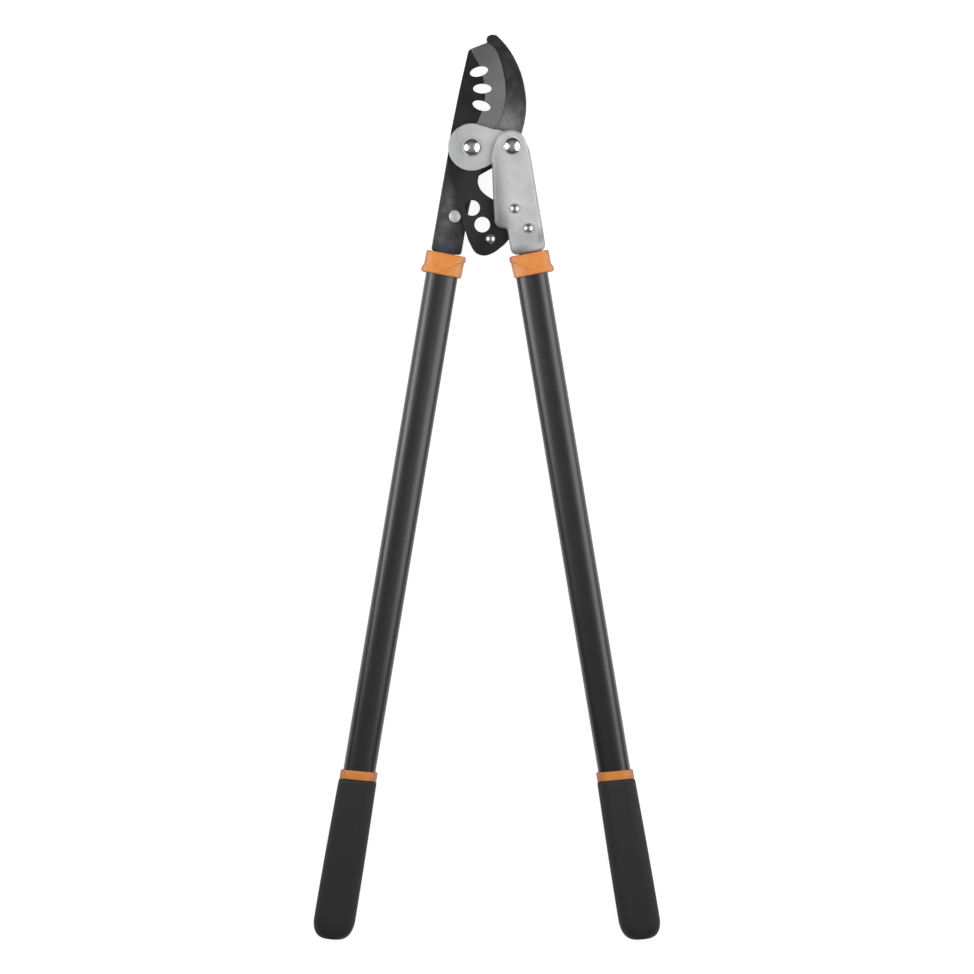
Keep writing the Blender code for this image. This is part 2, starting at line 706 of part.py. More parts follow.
def make_blade_bush(parent):
    washer(
        "blade_bush", MAIN_BOLT_RADIUS + GAP, bush_outer(), BLADE_FRONT, parent, MAIN_PIVOT,
        thickness=BLADE_THICKNESS, finish="bush_bronze",
    )


def rivet(name, head_base, end, parent, place):
    """A rivet with a dome in front and a lower one behind."""
    tail = dome(RIVET_HEAD_RADIUS, RIVET_HEAD_HEIGHT * 0.6, end, 4)
    behind = [(r, end - (z - end)) for r, z in reversed(tail)]
    profile = dome(RIVET_HEAD_RADIUS, RIVET_HEAD_HEIGHT, head_base, 6)
    profile += [(RIVET_RADIUS, head_base), (RIVET_RADIUS, end)] + behind
    return turned(name, profile, "rivet_chrome", parent, place, steps=16)


# Link

def make_link(parent):
    """A bar with an eye at each end. The arm end's hole is larger than its rivet by the play that the
    simplified motion needs there."""
    near = RIVET_RADIUS + GAP + LINK_WALL
    far_hole = RIVET_RADIUS + GAP + LINK_PLAY
    far = far_hole + LINK_WALL
    reach = Vector(LINK_RIVET) - Vector(TAIL_RIVET)
    heading = math.degrees(math.atan2(reach.y, reach.x))
    lean = math.degrees(math.asin((far - near) / reach.length))
    outline = arc(TAIL_RIVET, near, heading + 90 + lean, heading + 270 - lean)
    outline += arc(LINK_RIVET, far, heading - 90 - lean, heading + 90 + lean)
    front = HOOK_FRONT
    made = plate("link_bar", [outline], front - LINK_THICKNESS, front, "bright_steel", parent, TAIL_RIVET)
    ease_edges(made, EDGE_ROUND)
    low, high = front - LINK_THICKNESS - 1, front + 1
    cut(made, cylinder_cutter("link_tail_bore", RIVET_RADIUS + GAP, low, high, parent))
    place = (reach.x, reach.y)
    cut(made, cylinder_cutter("link_arm_bore", far_hole, low, high, parent, place))
    return made


# Right arm

def arm_outline(left_edge):
    """An arm plate, clockwise from the top of its eye, down the outer edge, along the foot and up the
    inner edge."""
    inner = ARM_FOOT_WIDTH / 2 - ARM_FOOT_SHIFT
    outer = ARM_FOOT_WIDTH / 2 + ARM_FOOT_SHIFT
    below_eye = down_handle(RIGHT, ARM_PIVOT) + 5.0
    return rounded(
        arc(beside_arm_pivot(*ARM_EYE_CENTRE), ARM_EYE_RADIUS, *ARM_EYE_SPAN)
        + [
            (*on_handle(RIGHT, below_eye, -outer), 30.0),
            (*on_handle(RIGHT, SHOULDER, -outer), SHANK_CORNER),
            (*on_handle(RIGHT, SHOULDER, inner), SHANK_CORNER),
            (*beside_arm_pivot(*ARM_NOTCH), ARM_NOTCH_ROUND),
        ]
        + left_edge
    )


def front_left_edge():
    """The lobe over the link, the straight flank and the ear beside the pivot, from the bottom up."""
    lobe = [(*beside_arm_pivot(x, y), radius) for x, y, radius in ARM_LOBE]
    return lobe + smooth([beside_arm_pivot(x, y) for x, y in ARM_EAR])


def back_left_edge():
    return [(*beside_arm_pivot(x, y), radius) for x, y, radius in ARM_BACK_EDGE]


def make_arm_plates(parent):
    pieces = (
        ("arm_front_plate", front_left_edge(), FRONT_PLATE_BACK, FRONT_PLATE_FRONT),
        ("arm_back_plate", back_left_edge(), BACK_PLATE_BACK, BACK_PLATE_FRONT),
    )
    for name, left_edge, low, high in pieces:
        made = plate(name, [arm_outline(left_edge)], low, high, "bright_steel", parent, ARM_PIVOT)
        if name == "arm_front_plate":
            round_front(made, high, FRONT_PLATE_ROUND, 3)
        else:
            ease_edges(made, EDGE_ROUND)
        low, high = low - 1, high + 1
        cut(made, cylinder_cutter(name + "_bore", ARM_BOLT_RADIUS + GAP, low, high, parent))
        for place, label in ((LINK_RIVET, "link"), (TANG_RIVET, "tang")):
            local = (place[0] - ARM_PIVOT[0], place[1] - ARM_PIVOT[1])
            cut(made, cylinder_cutter(f"{name}_{label}_bore", RIVET_RADIUS + GAP, low, high, parent, local))


def make_arm_rivets(parent):
    for name, place in (("link_rivet", LINK_RIVET), ("arm_tang_rivet", TANG_RIVET)):
        local = (place[0] - ARM_PIVOT[0], place[1] - ARM_PIVOT[1])
        rivet(name, FRONT_PLATE_FRONT + GAP, BACK_PLATE_BACK - GAP, parent, local)
    inner = RIVET_RADIUS + GAP
    front = FRONT_PLATE_BACK - GAP
    local = (LINK_RIVET[0] - ARM_PIVOT[0], LINK_RIVET[1] - ARM_PIVOT[1])
    washer(
        "link_bush", inner, inner + LINK_BUSH_WALL, front, parent, local,
        thickness=front - HOOK_FRONT - GAP, finish="bush_bronze",
    )


def make_arm_tang(parent):
    """The block between the arm plates, stepped down to a flat tang that runs into the right tube."""
    half = TANG_WIDTH / 2
    neck = SHOULDER - TANG_THICKNESS
    axis = Vector(on_handle(RIGHT, 1, 0)) - Vector(on_handle(RIGHT, 0, 0))
    up = Vector(TANG_RIVET) - axis * TANG_EYE_REACH
    side = Vector((axis.y, -axis.x)) * TANG_EYE_REACH
    outline = rounded([
        (*(up + side), TANG_EYE_RADIUS),
        (*(up - side), TANG_EYE_RADIUS),
        (*on_handle(RIGHT, neck, -half), TANG_NECK_ROUND),
        (*on_handle(RIGHT, TANG_END, -half), TANG_END_ROUND),
        (*on_handle(RIGHT, TANG_END, half), TANG_END_ROUND),
        (*on_handle(RIGHT, neck, half), TANG_NECK_ROUND),
    ])
    low, high = BACK_PLATE_FRONT + GAP, FRONT_PLATE_BACK - GAP
    made = plate("arm_tang", [outline], low, high, "forging", parent, ARM_PIVOT)
    local = (TANG_RIVET[0] - ARM_PIVOT[0], TANG_RIVET[1] - ARM_PIVOT[1])
    cut(made, cylinder_cutter("tang_rivet_bore", RIVET_RADIUS + GAP, low - 1, high + 1, parent, local))
    return made


# Handles

def handle_turn(side):
    """The handle's frame: Z down the handle, Y towards the front, X across."""
    down = Vector((side * math.sin(SPLAY), -math.cos(SPLAY), 0))
    front = Vector((0, 0, 1))
    across = front.cross(down)
    return Matrix((across, front, down)).transposed().to_4x4()


def collar_stations():
    """The collar swells at its lower outer corner and is eased at both ends. Each station is (distance,
    inner half-width, outer half-width, half-thickness)."""
    top, low = COLLAR_TOP, -COLLAR_TOP
    half = COLLAR_WIDTH / 2
    thick = COLLAR_THICKNESS / 2
    swell = half + COLLAR_BULGE
    return [
        (top, half - 1.2, half - 0.6, thick - 0.8),
        (top + 1.1, half, half + 0.6, thick),
        (top + 0.4 * COLLAR_HEIGHT, half + 0.1, half + 0.6, thick),
        (top + 0.7 * COLLAR_HEIGHT, half - 0.1, swell, thick),
        (low - 2.6, half - 0.2, swell + 0.2, thick),
        (low - 0.9, half - 0.6, swell - 1.0, thick - 0.2),
        (low, half - 1.4, half - 0.6, thick - 1.0),
    ]


def make_collar(name, side, parent):
    corner_points = arc_steps(COLLAR_CORNER, math.pi / 2)
    rings = []
    for along, inner, outer, thick in collar_stations():
        middle = side * (outer - inner) / 2
        section = section_box((inner + outer) / 2, thick, COLLAR_CORNER, corner_points)
        rings.append([(x + middle, y, along) for x, y in section])
    made = loft(name, rings, "orange_plastic", parent)
    mesh = flat_mesh(name + "_bore", [tube_section(side, -GAP)], TUBE_TOP - GAP, -COLLAR_TOP + 2)
    cut(made, add_object(name + "_bore", mesh, None, parent))
    wide, thick = TANG_WIDTH / 2 + GAP, TANG_THICKNESS / 2 + GAP
    cut(made, box_cutter(name + "_slot", (-wide, -thick, COLLAR_TOP - 2), (wide, thick, TUBE_TOP + 2), parent))
    recess = collar_recess(side)
    for label, front in (("front", 1), ("back", -1)):
        surface = COLLAR_THICKNESS / 2 - COLLAR_RECESS
        low, high = sorted((front * surface, front * (surface + 6)))
        mesh = flat_mesh(f"{name}_{label}_recess", [recess], low, high)
        flip = Matrix.Rotation(math.radians(-90), 4, "X")
        cut(made, add_object(f"{name}_{label}_recess", mesh, None, parent, flip))
    return made


def collar_recess(side):
    """The sunk corner below the raised sweep, drawn across the handle and down it."""
    corner = (COLLAR_SWEEP[0][0], COLLAR_SWEEP[-1][1])
    return [(-side * inward, -along) for inward, along in smooth(COLLAR_SWEEP) + [corner]]


def make_tube(name, side, parent):
    mesh = flat_mesh(name, [tube_section(side), tube_section(side, TUBE_WALL)], TUBE_TOP, TUBE_END)
    return add_object(name, mesh, "tube_black", parent)


def make_sleeve(name, side, parent):
    """The plastic insert that fills the tube round the tang."""
    slot = rounded_box(TANG_WIDTH + 2 * GAP, TANG_THICKNESS + 2 * GAP, 0.6)
    mesh = flat_mesh(name, [tube_section(side, TUBE_WALL + GAP), slot], TUBE_TOP, TANG_END - TANG_TIP)
    return add_object(name, mesh, "sleeve_plastic", parent)


def skew(mesh, side):
    """Leans the ends of a ring or grip nearer to level than square across the handle."""
    lean = Matrix.Identity(4)
    lean[2][0] = side * math.tan(GRIP_SKEW)
    mesh.transform(lean)


def make_ring(name, side, parent):
    outer = rounded_box(RING_WIDTH, RING_THICKNESS, GRIP_CORNER)
    mesh = flat_mesh(name, [outer, tube_section(side, -GAP)], RING_TOP, RING_TOP + RING_HEIGHT)
    skew(mesh, side)
    return add_object(name, mesh, "orange_plastic", parent)


def grip_stations():
    """The grip widens down its length and closes in a rounded end. Each station is (distance, half-width,
    half-thickness)."""
    thick = GRIP_THICKNESS / 2
    body = GRIP_LENGTH - GRIP_END_ROUND
    stations = []
    for along, ease in ((0.0, 1.2), (1.5, 0.3), (3.6, 0.0), (30.0, 0.0), (58.0, 0.0), (88.0, 0.0), (body, 0.0)):
        widening = math.sin(math.pi / 2 * along / body)
        half = (GRIP_TOP_WIDTH + (GRIP_WIDTH - GRIP_TOP_WIDTH) * widening) / 2
        stations.append((GRIP_TOP + along, half - ease, thick - ease))
    for i in range(1, GRIP_END_STEPS + 1):
        a = math.radians(GRIP_END_ANGLE) * i / GRIP_END_STEPS
        along = GRIP_TOP + body + GRIP_END_ROUND * math.sin(a) / math.sin(math.radians(GRIP_END_ANGLE))
        half = GRIP_WIDTH / 2 * math.cos(a) ** GRIP_END_FULLNESS
        stations.append((along, half, thick - GRIP_END_THINNING * (1 - math.cos(a))))
    return stations


def section_box(half, thick, corner, steps):
    """A rounded rectangle with a set number of points at each corner, so that sections can be lofted."""
    corner = min(corner, 0.9 * half, 0.9 * thick)
    found = []
    for quarter, (x, y) in enumerate(((1, 1), (-1, 1), (-1, -1), (1, -1))):
        for i in range(steps + 1):
            a = math.pi / 2 * (quarter + i / steps)
            found.append((
                x * (half - corner) + corner * math.cos(a),
                y * (thick - corner) + corner * math.sin(a),
            ))
    return found


def make_grip(name, side, parent):
    corner_points = arc_steps(GRIP_CORNER, math.pi / 2)
    rings = []
    for along, half, thick in grip_stations():
        section = section_box(half, thick, GRIP_CORNER, corner_points)
        rings.append([(x, y, along) for x, y in section])
    made = loft(name, rings, "grip_rubber", parent)
    skew(made.data, side)
    mesh = flat_mesh(name + "_bore", [tube_section(side, -GAP)], GRIP_TOP - 2, GRIP_BORE_END)
    cut(made, add_object(name + "_bore", mesh, None, parent))
    return made


def make_handle(label, side, parent):
    make_collar(label + "_collar", side, parent)
    tube = make_tube(label + "_tube", side, parent)
    sleeve = make_sleeve(label + "_tang_sleeve", side, parent)
    make_ring(label + "_grip_ring", side, parent)
    make_grip(label + "_grip", side, parent)
    flip = Matrix.Rotation(math.radians(90), 4, "X")
    half = TUBE_THICKNESS / 2 - TUBE_RIVET_RADIUS * math.sin(TUBE_ROLL) - GAP
    profile = [(0.0, half), (TUBE_RIVET_RADIUS, half), (TUBE_RIVET_RADIUS, -half), (0.0, -half)]
    turned(label + "_tube_rivet", profile, "bright_steel", parent, steps=16, turn=flip)
    for piece in (tube, sleeve):
        cutter = cylinder_cutter(piece.name + "_rivet_bore", TUBE_RIVET_RADIUS + GAP, -15, 15, parent, sides=16)
        cutter.matrix_local = flip
        cut(piece, cutter)


def tang_rivet_bore(piece, side, parent):
    """The hole that the tube's cross rivet takes through a tang."""
    place = Vector(on_handle(side, 0, 0)) * MM - Vector(parent.matrix_world.translation[:2])
    cutter = cylinder_cutter(
        piece.name + "_cross_bore", TUBE_RIVET_RADIUS + GAP, -20, 20, parent, place / MM, sides=16
    )
    cut(piece, cutter)


def tang_step_cutter(parent):
    """Takes the front off the right tang below the arm plates, down to the tang's own thickness."""
    front = TANG_THICKNESS / 2
    low, high = (-TANG_WIDTH, front, SHOULDER), (TANG_WIDTH, front + 20, TANG_END + 5)
    return box_cutter("tang_step", low, high, parent)


# Assembly

def measured(pieces):
    """The lowest and highest corners of the finished pieces."""
    graph = bpy.context.evaluated_depsgraph_get()
    corners = []
    for piece in pieces:
        ready = piece.evaluated_get(graph)
        corners += [ready.matrix_world @ vertex.co for vertex in ready.data.vertices]
    low = Vector([min(c[i] for c in corners) for i in range(3)])
    high = Vector([max(c[i] for c in corners) for i in range(3)])
    return low, high


def main():
    root = pivot("lopper", MAIN_PIVOT)
    blade_pivot = pivot("blade_pivot", MAIN_PIVOT, root)
    arm_pivot = pivot("arm_pivot", ARM_PIVOT, root)
    link_pivot = pivot("link_pivot", TAIL_RIVET, blade_pivot)
    left_handle = pivot("left_handle", on_handle(LEFT, 0, 0), root, handle_turn(LEFT))
    right_handle = pivot("right_handle", on_handle(RIGHT, 0, 0), arm_pivot, handle_turn(RIGHT))
    bpy.context.view_layer.update()

    hook = make_hook_arm(root)
    tang_rivet_bore(hook, LEFT, root)
    make_stop_pin(root)
    make_pivot_plate(root)
    make_fixed_fasteners(root)
    make_handle("left", LEFT, left_handle)

    make_blade(blade_pivot)
    make_blade_bush(blade_pivot)
    rivet("tail_rivet", BLADE_FRONT + GAP, HOOK_FRONT - LINK_THICKNESS - GAP, blade_pivot, TAIL_RIVET)
    make_link(link_pivot)

    make_arm_plates(arm_pivot)
    make_arm_rivets(arm_pivot)
    tang = make_arm_tang(arm_pivot)
    tang_rivet_bore(tang, RIGHT, arm_pivot)
    cut(tang, tang_step_cutter(right_handle))
    make_handle("right", RIGHT, right_handle)

    bpy.context.view_layer.update()
    low, high = measured([o for o in PARTS.objects if o.type == "MESH"])
    middle = (low + high) / 2
    root.location = (-middle.x, -middle.y, -low.z)
    bpy.context.view_layer.update()
    print("size", [round(v, 4) for v in high - low])
    for empty in (root, blade_pivot, arm_pivot, link_pivot, left_handle, right_handle):
        print(empty.name, [round(v, 5) for v in empty.matrix_world.translation])


for leftover in list(bpy.data.objects):
    bpy.data.objects.remove(leftover)
PARTS = collection("lopper")
CUTTERS = collection("cutters")
MATERIALS = {name: material(name) for name in COLOURS}
main()
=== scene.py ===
"""The looks of the lopper: fine forms, finishes, studio light and camera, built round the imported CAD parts.

Lengths are in metres, in the frame's own axes: +Y from the grips to the jaw, +Z out of the blade's side.
Sizes and places are read from the frame, or are named values below.
"""

import json
import math

import bmesh
import bpy
from mathutils import Matrix, Vector


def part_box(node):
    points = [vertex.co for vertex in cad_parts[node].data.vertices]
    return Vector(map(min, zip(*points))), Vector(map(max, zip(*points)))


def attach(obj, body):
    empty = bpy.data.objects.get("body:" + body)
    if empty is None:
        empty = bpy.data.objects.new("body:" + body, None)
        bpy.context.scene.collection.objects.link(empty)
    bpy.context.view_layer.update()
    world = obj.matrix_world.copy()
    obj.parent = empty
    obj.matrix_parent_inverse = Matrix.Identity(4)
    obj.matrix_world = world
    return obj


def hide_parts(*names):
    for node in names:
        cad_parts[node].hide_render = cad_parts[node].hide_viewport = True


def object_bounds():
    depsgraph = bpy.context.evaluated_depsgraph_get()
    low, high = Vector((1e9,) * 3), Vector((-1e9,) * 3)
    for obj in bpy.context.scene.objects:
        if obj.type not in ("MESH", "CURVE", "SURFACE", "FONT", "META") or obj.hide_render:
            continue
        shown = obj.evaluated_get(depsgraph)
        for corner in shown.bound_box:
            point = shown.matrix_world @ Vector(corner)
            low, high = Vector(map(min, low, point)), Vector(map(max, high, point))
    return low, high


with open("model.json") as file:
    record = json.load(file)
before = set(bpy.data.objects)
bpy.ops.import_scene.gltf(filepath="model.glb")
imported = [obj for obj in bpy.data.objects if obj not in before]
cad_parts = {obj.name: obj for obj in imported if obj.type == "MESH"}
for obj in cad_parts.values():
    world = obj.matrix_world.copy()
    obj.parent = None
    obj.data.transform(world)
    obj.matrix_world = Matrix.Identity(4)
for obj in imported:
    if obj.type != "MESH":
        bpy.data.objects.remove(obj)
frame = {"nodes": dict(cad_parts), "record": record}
CAD_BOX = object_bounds()

MM = 0.001

# Points closer than this are one, a share or radius below this is none, and a cross product below this is
# that of parallel lines
MERGE = 1e-6
TINY = 1e-9
PARALLEL = 1e-12

# The photograph's framing
VIEW_WIDTH = 0.8404
VIEW_CENTRE = (0.00011, 0.00011)
CAMERA_HEIGHT = 8.0
SENSOR = 36.0

# Edge rounding
FORGED_ROUND = 1.5 * MM
PRESSED_ROUND = 0.9 * MM
ARM_ROUND = 3.1 * MM
BLADE_EDGE = 0.16 * MM
TURNED_ROUND = 0.25 * MM
TUBE_LIP = 0.25 * MM

# Between which slants to the front a face of the blade counts as its ground bevel
BEVEL_FACING = (0.5, 0.9995)

# The level at which a plate is cut for its outline, as a share of its thickness, and how far the cutter of a
# hole stands out on both sides
PLATE_LEVEL = 0.25
CUTTER_REACH = 5.0 * MM

# Bolts, nuts and rivets, and the steps round each
TURNED_STEPS = 96
BOLT_RADIUS = 4.0 * MM
BOLT_DOME = 3.8 * MM
BOLT_RIM = 0.6 * MM
BOLT_TAPER = 0.2 * MM
BOLT_CHAMFER = 0.5 * MM
NUT_CHAMFER = 0.2 * MM
NUT_FALL = 0.7
RIVET_RADIUS = 2.6 * MM
RIVET_DOME = 2.4 * MM
RIVET_BACK_DOME = 1.44 * MM
STOP_PIN_DOME = 1.3 * MM
STOP_PIN_BACK = 3.6 * MM
BLADE_BACK = 16.8 * MM
FIT = 0.3 * MM

# Collars: (distance down the handle, inner half-width, outer half-width), in millimetres
COLLAR_SIDES = [
    (-9.5, 17.0, 17.5), (-6.0, 17.1, 17.6), (-2.0, 17.1, 17.6), (1.5, 17.0, 17.7), (3.2, 17.0, 18.1),
    (4.8, 16.9, 19.0), (6.4, 16.8, 19.5), (8.0, 16.8, 19.5), (9.5, 16.7, 19.3),
]
COLLAR_THICK = 13.0 * MM
COLLAR_SQUARENESS = 4.2
COLLAR_LEAN = math.radians(1.5)
COLLAR_SHIFT = {"left": 1.0 * MM, "right": 0.2 * MM}
COLLAR_TOP_ROUND = 1.3 * MM
COLLAR_LOW_ROUND = 1.7 * MM
COLLAR_LID = 3.2 * MM
COLLAR_BORE_LEVEL = 5.0 * MM
COLLAR_ROWS = 44

# The length of tube end whose middle gives the handle's direction
TUBE_END_BAND = 10.0 * MM

# The line below which a collar's face is sunk: (distance inward, distance down the handle), in millimetres
COLLAR_SWEEP = [
    (20.0, -5.5), (13.0, -3.0), (9.7, -0.8), (7.2, 1.2), (4.6, 3.2), (1.6, 5.1), (-2.2, 6.9), (-8.0, 11.0)
]
SWEEP_DEPTH = 0.9 * MM
SWEEP_SOFTNESS = 0.6 * MM

# Rings and grips
GRIP_THICK = 13.5 * MM
GRIP_TOP_HALF = 16.35 * MM
GRIP_HALF = 17.75 * MM
GRIP_CORNER = 9.0 * MM
GRIP_SKEW = math.radians(4.0)
GRIP_END_ROUND = 17.7 * MM
GRIP_END_ANGLE = 89.4
GRIP_END_FULLNESS = 0.58
GRIP_END_THINNING = 0.25
GRIP_LIP_ROUND = 1.4 * MM
GRIP_BORE_LEVEL = 30.0 * MM
GRIP_ROWS = 40
GRIP_END_ROWS = 22
RING_ROUND = 0.8 * MM

# How high the front faces lie, in millimetres
HOOK_FACE = 16.5
BLADE_FACE = 20.8
PLATE_FACE = 24.1
COLLAR_FACE = 26.5
ARM_FACE = 28.4

# Spots where the colour changes, some of them painted light or shade as said at each: centre and reach on
# each axis in millimetres, and turn in radians
HOOK_ROOT = ((14.0, 310.0, HOOK_FACE), (32.0, 43.0, 50.0), 0.2)
HOOK_BOSS = ((17.5, 311.5, HOOK_FACE), (19.0, 18.0, 50.0), 0.0)
HOOK_SHANK = ((-34.5, 236.0, HOOK_FACE), (16.0, 70.0, 50.0), 0.17)
HOOK_FOOT = ((-36.0, 206.0, HOOK_FACE), (20.0, 20.0, 50.0), 0.0)
BLADE_TAIL = ((-12.0, 246.0, BLADE_FACE), (32.0, 56.0, 20.0), 0.2)
BLADE_ROOT = ((-26.0, 322.0, BLADE_FACE), (18.0, 26.0, 20.0), 0.0)
BEVEL_TIP = ((0.0, 380.0, BLADE_FACE), (30.0, 45.0, 30.0), 0.0)
PLATE_MIDDLE = ((4.0, 297.0, PLATE_FACE), (30.0, 34.0, 20.0), 0.0)
# The arm's eye, about which the painted shade of the flank is lifted
ARM_EYE = ((21.9, 299.0, ARM_FACE), (19.0, 20.0, 30.0), 0.0)
# Painted highlights: the sunk inner corners of the collars, painted paler
LEFT_COLLAR_HIGHLIGHT = ((-23.2, 185.0, COLLAR_FACE), (12.0, 11.0, 50.0), 0.0)
RIGHT_COLLAR_HIGHLIGHT = ((25.0, 184.5, COLLAR_FACE), (12.0, 11.0, 50.0), 0.0)

# Painted shadows on the front plate, spots painted darker on its left side, its lobe and its lower end by the
# collar: (spot, share, grey)
PAINTED_ARM_SHADOWS = [
    (((3.5, 248.0, ARM_FACE), (19.0, 65.0, 30.0), -0.04), 0.85, 0.235),
    (((9.0, 223.0, ARM_FACE), (18.0, 27.0, 30.0), 0.0), 0.85, 0.18),
    (((48.0, 217.0, ARM_FACE), (7.0, 12.0, 20.0), 0.3), 0.7, 0.21),
    (((33.0, 211.0, ARM_FACE), (24.0, 19.0, 30.0), -0.165), 0.42, 0.31),
    (((27.0, 203.0, ARM_FACE), (20.0, 7.0, 20.0), -0.165), 0.8, 0.18),
]

# The floor: its half-width, its grey as a source of light, and the grey and glow that are seen
FLOOR_HALF = 8.0
PAPER_GREY = 0.8
SEEN_GREY = 0.25
SEEN_GLOW = 0.93

# The surroundings: (height of the direction, brightness)
HORIZON = [(0.0, 0.5), (0.08, 0.35), (0.2, 0.06), (0.5, 0.06), (0.85, 0.26), (1.0, 0.27)]

# Lights: (name, centre, size, brightness, the point that it faces)
LIGHTS = [
    ("left_softbox", (-0.55, 0.24, 0.46), (0.64, 0.6), 4.1, (0.0, 0.24, 0.46)),
    ("right_softbox", (0.55, 0.22, 0.54), (1.05, 0.78), 2.6, (0.0, 0.22, 0.54)),
    ("left_reflector", (-0.44, 0.28, 0.95), (0.4, 0.62), 0.45, (-0.44, 0.28, 0.0)),
    ("right_reflector", (0.44, 0.24, 0.95), (0.4, 0.9), 0.45, (0.44, 0.24, 0.0)),
]


# Node helpers

def add(tree, kind, settings=None, inputs=None):
    """A shader node with its settings, and its sockets set or linked."""
    made = tree.nodes.new(kind)
    for name, value in (settings or {}).items():
        setattr(made, name, value)
    for name, value in (inputs or {}).items():
        if isinstance(value, bpy.types.NodeSocket):
            tree.links.new(value, made.inputs[name])
        else:
            made.inputs[name].default_value = value
    return made


def rgba(colour):
    """A grey or a colour with its alpha."""
    return (*colour, 1.0) if isinstance(colour, tuple) else (colour, colour, colour, 1.0)


def place(tree, stretch=(1.0, 1.0, 1.0), turn=0.0):
    """Coordinates fixed to the piece, stretched and turned about the vertical."""
    coords = add(tree, "ShaderNodeTexCoord")
    inputs = {"Vector": coords.outputs["Object"], "Scale": stretch, "Rotation": (0.0, 0.0, turn)}
    return add(tree, "ShaderNodeMapping", inputs=inputs).outputs["Vector"]


def noise(tree, where, size, detail=3.0, roughness=0.5):
    """Cloudy noise, from 0 to 1, whose spots are about one size across."""
    inputs = {"Vector": where, "Scale": 1.0 / size, "Detail": detail, "Roughness": roughness}
    return add(tree, "ShaderNodeTexNoise", inputs=inputs).outputs["Fac"]


def ramp(tree, value, stops):
    """Maps a value through (position, grey or colour) stops."""
    made = add(tree, "ShaderNodeValToRGB", inputs={"Fac": value})
    elements = made.color_ramp.elements
    while len(elements) < len(stops):
        elements.new(0.5)
    for element, (position, colour) in zip(elements, stops):
        element.position = position
        element.color = rgba(colour)
    return made.outputs["Color"]


def spread(tree, value, low, high):
    """Maps the middle of a noise's range to two greys or colours."""
    return ramp(tree, value, [(0.3, low), (0.7, high)])


def mix(tree, share, first, second, blend="MIX"):
    """Two colours mixed, each a socket, a colour or a grey."""
    made = add(tree, "ShaderNodeMix", {"data_type": "RGBA", "blend_type": blend})
    for index, value in ((0, share), (6, first), (7, second)):
        socket = made.inputs[index]
        if isinstance(value, bpy.types.NodeSocket):
            tree.links.new(value, socket)
        else:
            socket.default_value = value if index == 0 else rgba(value)
    return made.outputs[2]


def maths(tree, operation, first, second=0.0):
    """One sum on two values, each a socket or a number."""
    made = add(tree, "ShaderNodeMath", {"operation": operation})
    for socket, value in zip(made.inputs, (first, second)):
        if isinstance(value, bpy.types.NodeSocket):
            tree.links.new(value, socket)
        else:
            socket.default_value = value
    return made.outputs[0]


def bump(tree, height, distance, strength=1.0, under=None):
    """A bump of a height map, over another bump if one is given."""
    inputs = {"Height": height, "Distance": distance, "Strength": strength}
    if under is not None:
        inputs["Normal"] = under
    return add(tree, "ShaderNodeBump", inputs=inputs).outputs["Normal"]


def near(tree, spot):
    """A soft spot: 1 at its centre on the piece, falling to 0 at its reach on each axis."""
    centre, span, turn = spot
    where = add(tree, "ShaderNodeTexCoord").outputs["Object"]
    steps = (
        {"Location": tuple(-c * MM for c in centre)},
        {"Rotation": (0.0, 0.0, turn)},
        {"Scale": tuple(1.0 / (s * MM) for s in span)},
    )
    for step in steps:
        where = add(tree, "ShaderNodeMapping", inputs={"Vector": where, **step}).outputs["Vector"]
    sphere = add(tree, "ShaderNodeTexGradient", {"gradient_type": "QUADRATIC_SPHERE"}, {"Vector": where})
    return sphere.outputs["Fac"]


def tint(tree, colour, spot, paint, most, full_at):
    """Lays another colour over a soft spot: at most a share of it, reached at a level of the spot."""
    share = ramp(tree, near(tree, spot), [(0.0, 0.0), (full_at, most)])
    return mix(tree, share, colour, paint)


def facing_front(tree):
    """How far the surface faces along the piece's own Z axis."""
    coords = add(tree, "ShaderNodeTexCoord")
    return add(tree, "ShaderNodeSeparateXYZ", inputs={"Vector": coords.outputs["Normal"]}).outputs["Z"]


def finish(name, roughness, metallic=0.0):
    """A new material, its node tree and its shader."""
    made = bpy.data.materials.new(name)
    made.use_nodes = True
    shader = made.node_tree.nodes["Principled BSDF"]
    shader.inputs["Roughness"].default_value = roughness
    shader.inputs["Metallic"].default_value = metallic
    return made, made.node_tree, shader


def link(tree, shader, **sockets):
    """Links values to the shader's sockets, named with underscores for spaces."""
    for name, value in sockets.items():
        tree.links.new(value, shader.inputs[name.replace("_", " ")])


# Finishes

def forging_finish():
    """Dark oxide on forged steel, mottled, worn lighter at the root of the hook and along the left arm."""
    made, tree, shader = finish("dark_forging", 0.5, 0.3)
    clouds = noise(tree, place(tree), 10 * MM, 5.0, 0.65)
    blots = noise(tree, place(tree), 26 * MM, 3.0, 0.6)
    oxide = [(0.3, (0.014, 0.014, 0.015)), (0.5, (0.024, 0.024, 0.025)), (0.72, 0.055)]
    colour = ramp(tree, clouds, oxide)
    worn = spread(tree, clouds, 0.12, 0.25)
    for spot, most in ((HOOK_ROOT, 1.0), (HOOK_SHANK, 0.36)):
        patches = ramp(tree, blots, [(0.3, 0.6), (0.55, 1.0)])
        worn_here = maths(tree, "MULTIPLY", near(tree, spot), patches)
        colour = mix(tree, ramp(tree, worn_here, [(0.0, 0.0), (0.5, most)]), colour, worn)
    colour = tint(tree, colour, HOOK_BOSS, 0.27, 0.5, 0.5)
    colour = tint(tree, colour, HOOK_FOOT, (0.05, 0.062, 0.078), 0.7, 0.8)
    streaks = noise(tree, place(tree, (1.0, 0.35, 1.0), 0.16), 4 * MM, 5.0, 0.7)
    colour = mix(tree, 0.35, colour, spread(tree, streaks, 0.3, 0.9), "OVERLAY")
    dents = bump(tree, noise(tree, place(tree), 7 * MM, 3.0), 0.35 * MM, 0.6)
    pits = bump(tree, noise(tree, place(tree), 0.9 * MM, 4.0, 0.65), 0.06 * MM, 0.7, dents)
    link(tree, shader, Base_Color=colour, Roughness=spread(tree, clouds, 0.42, 0.62), Normal=pits)
    return made


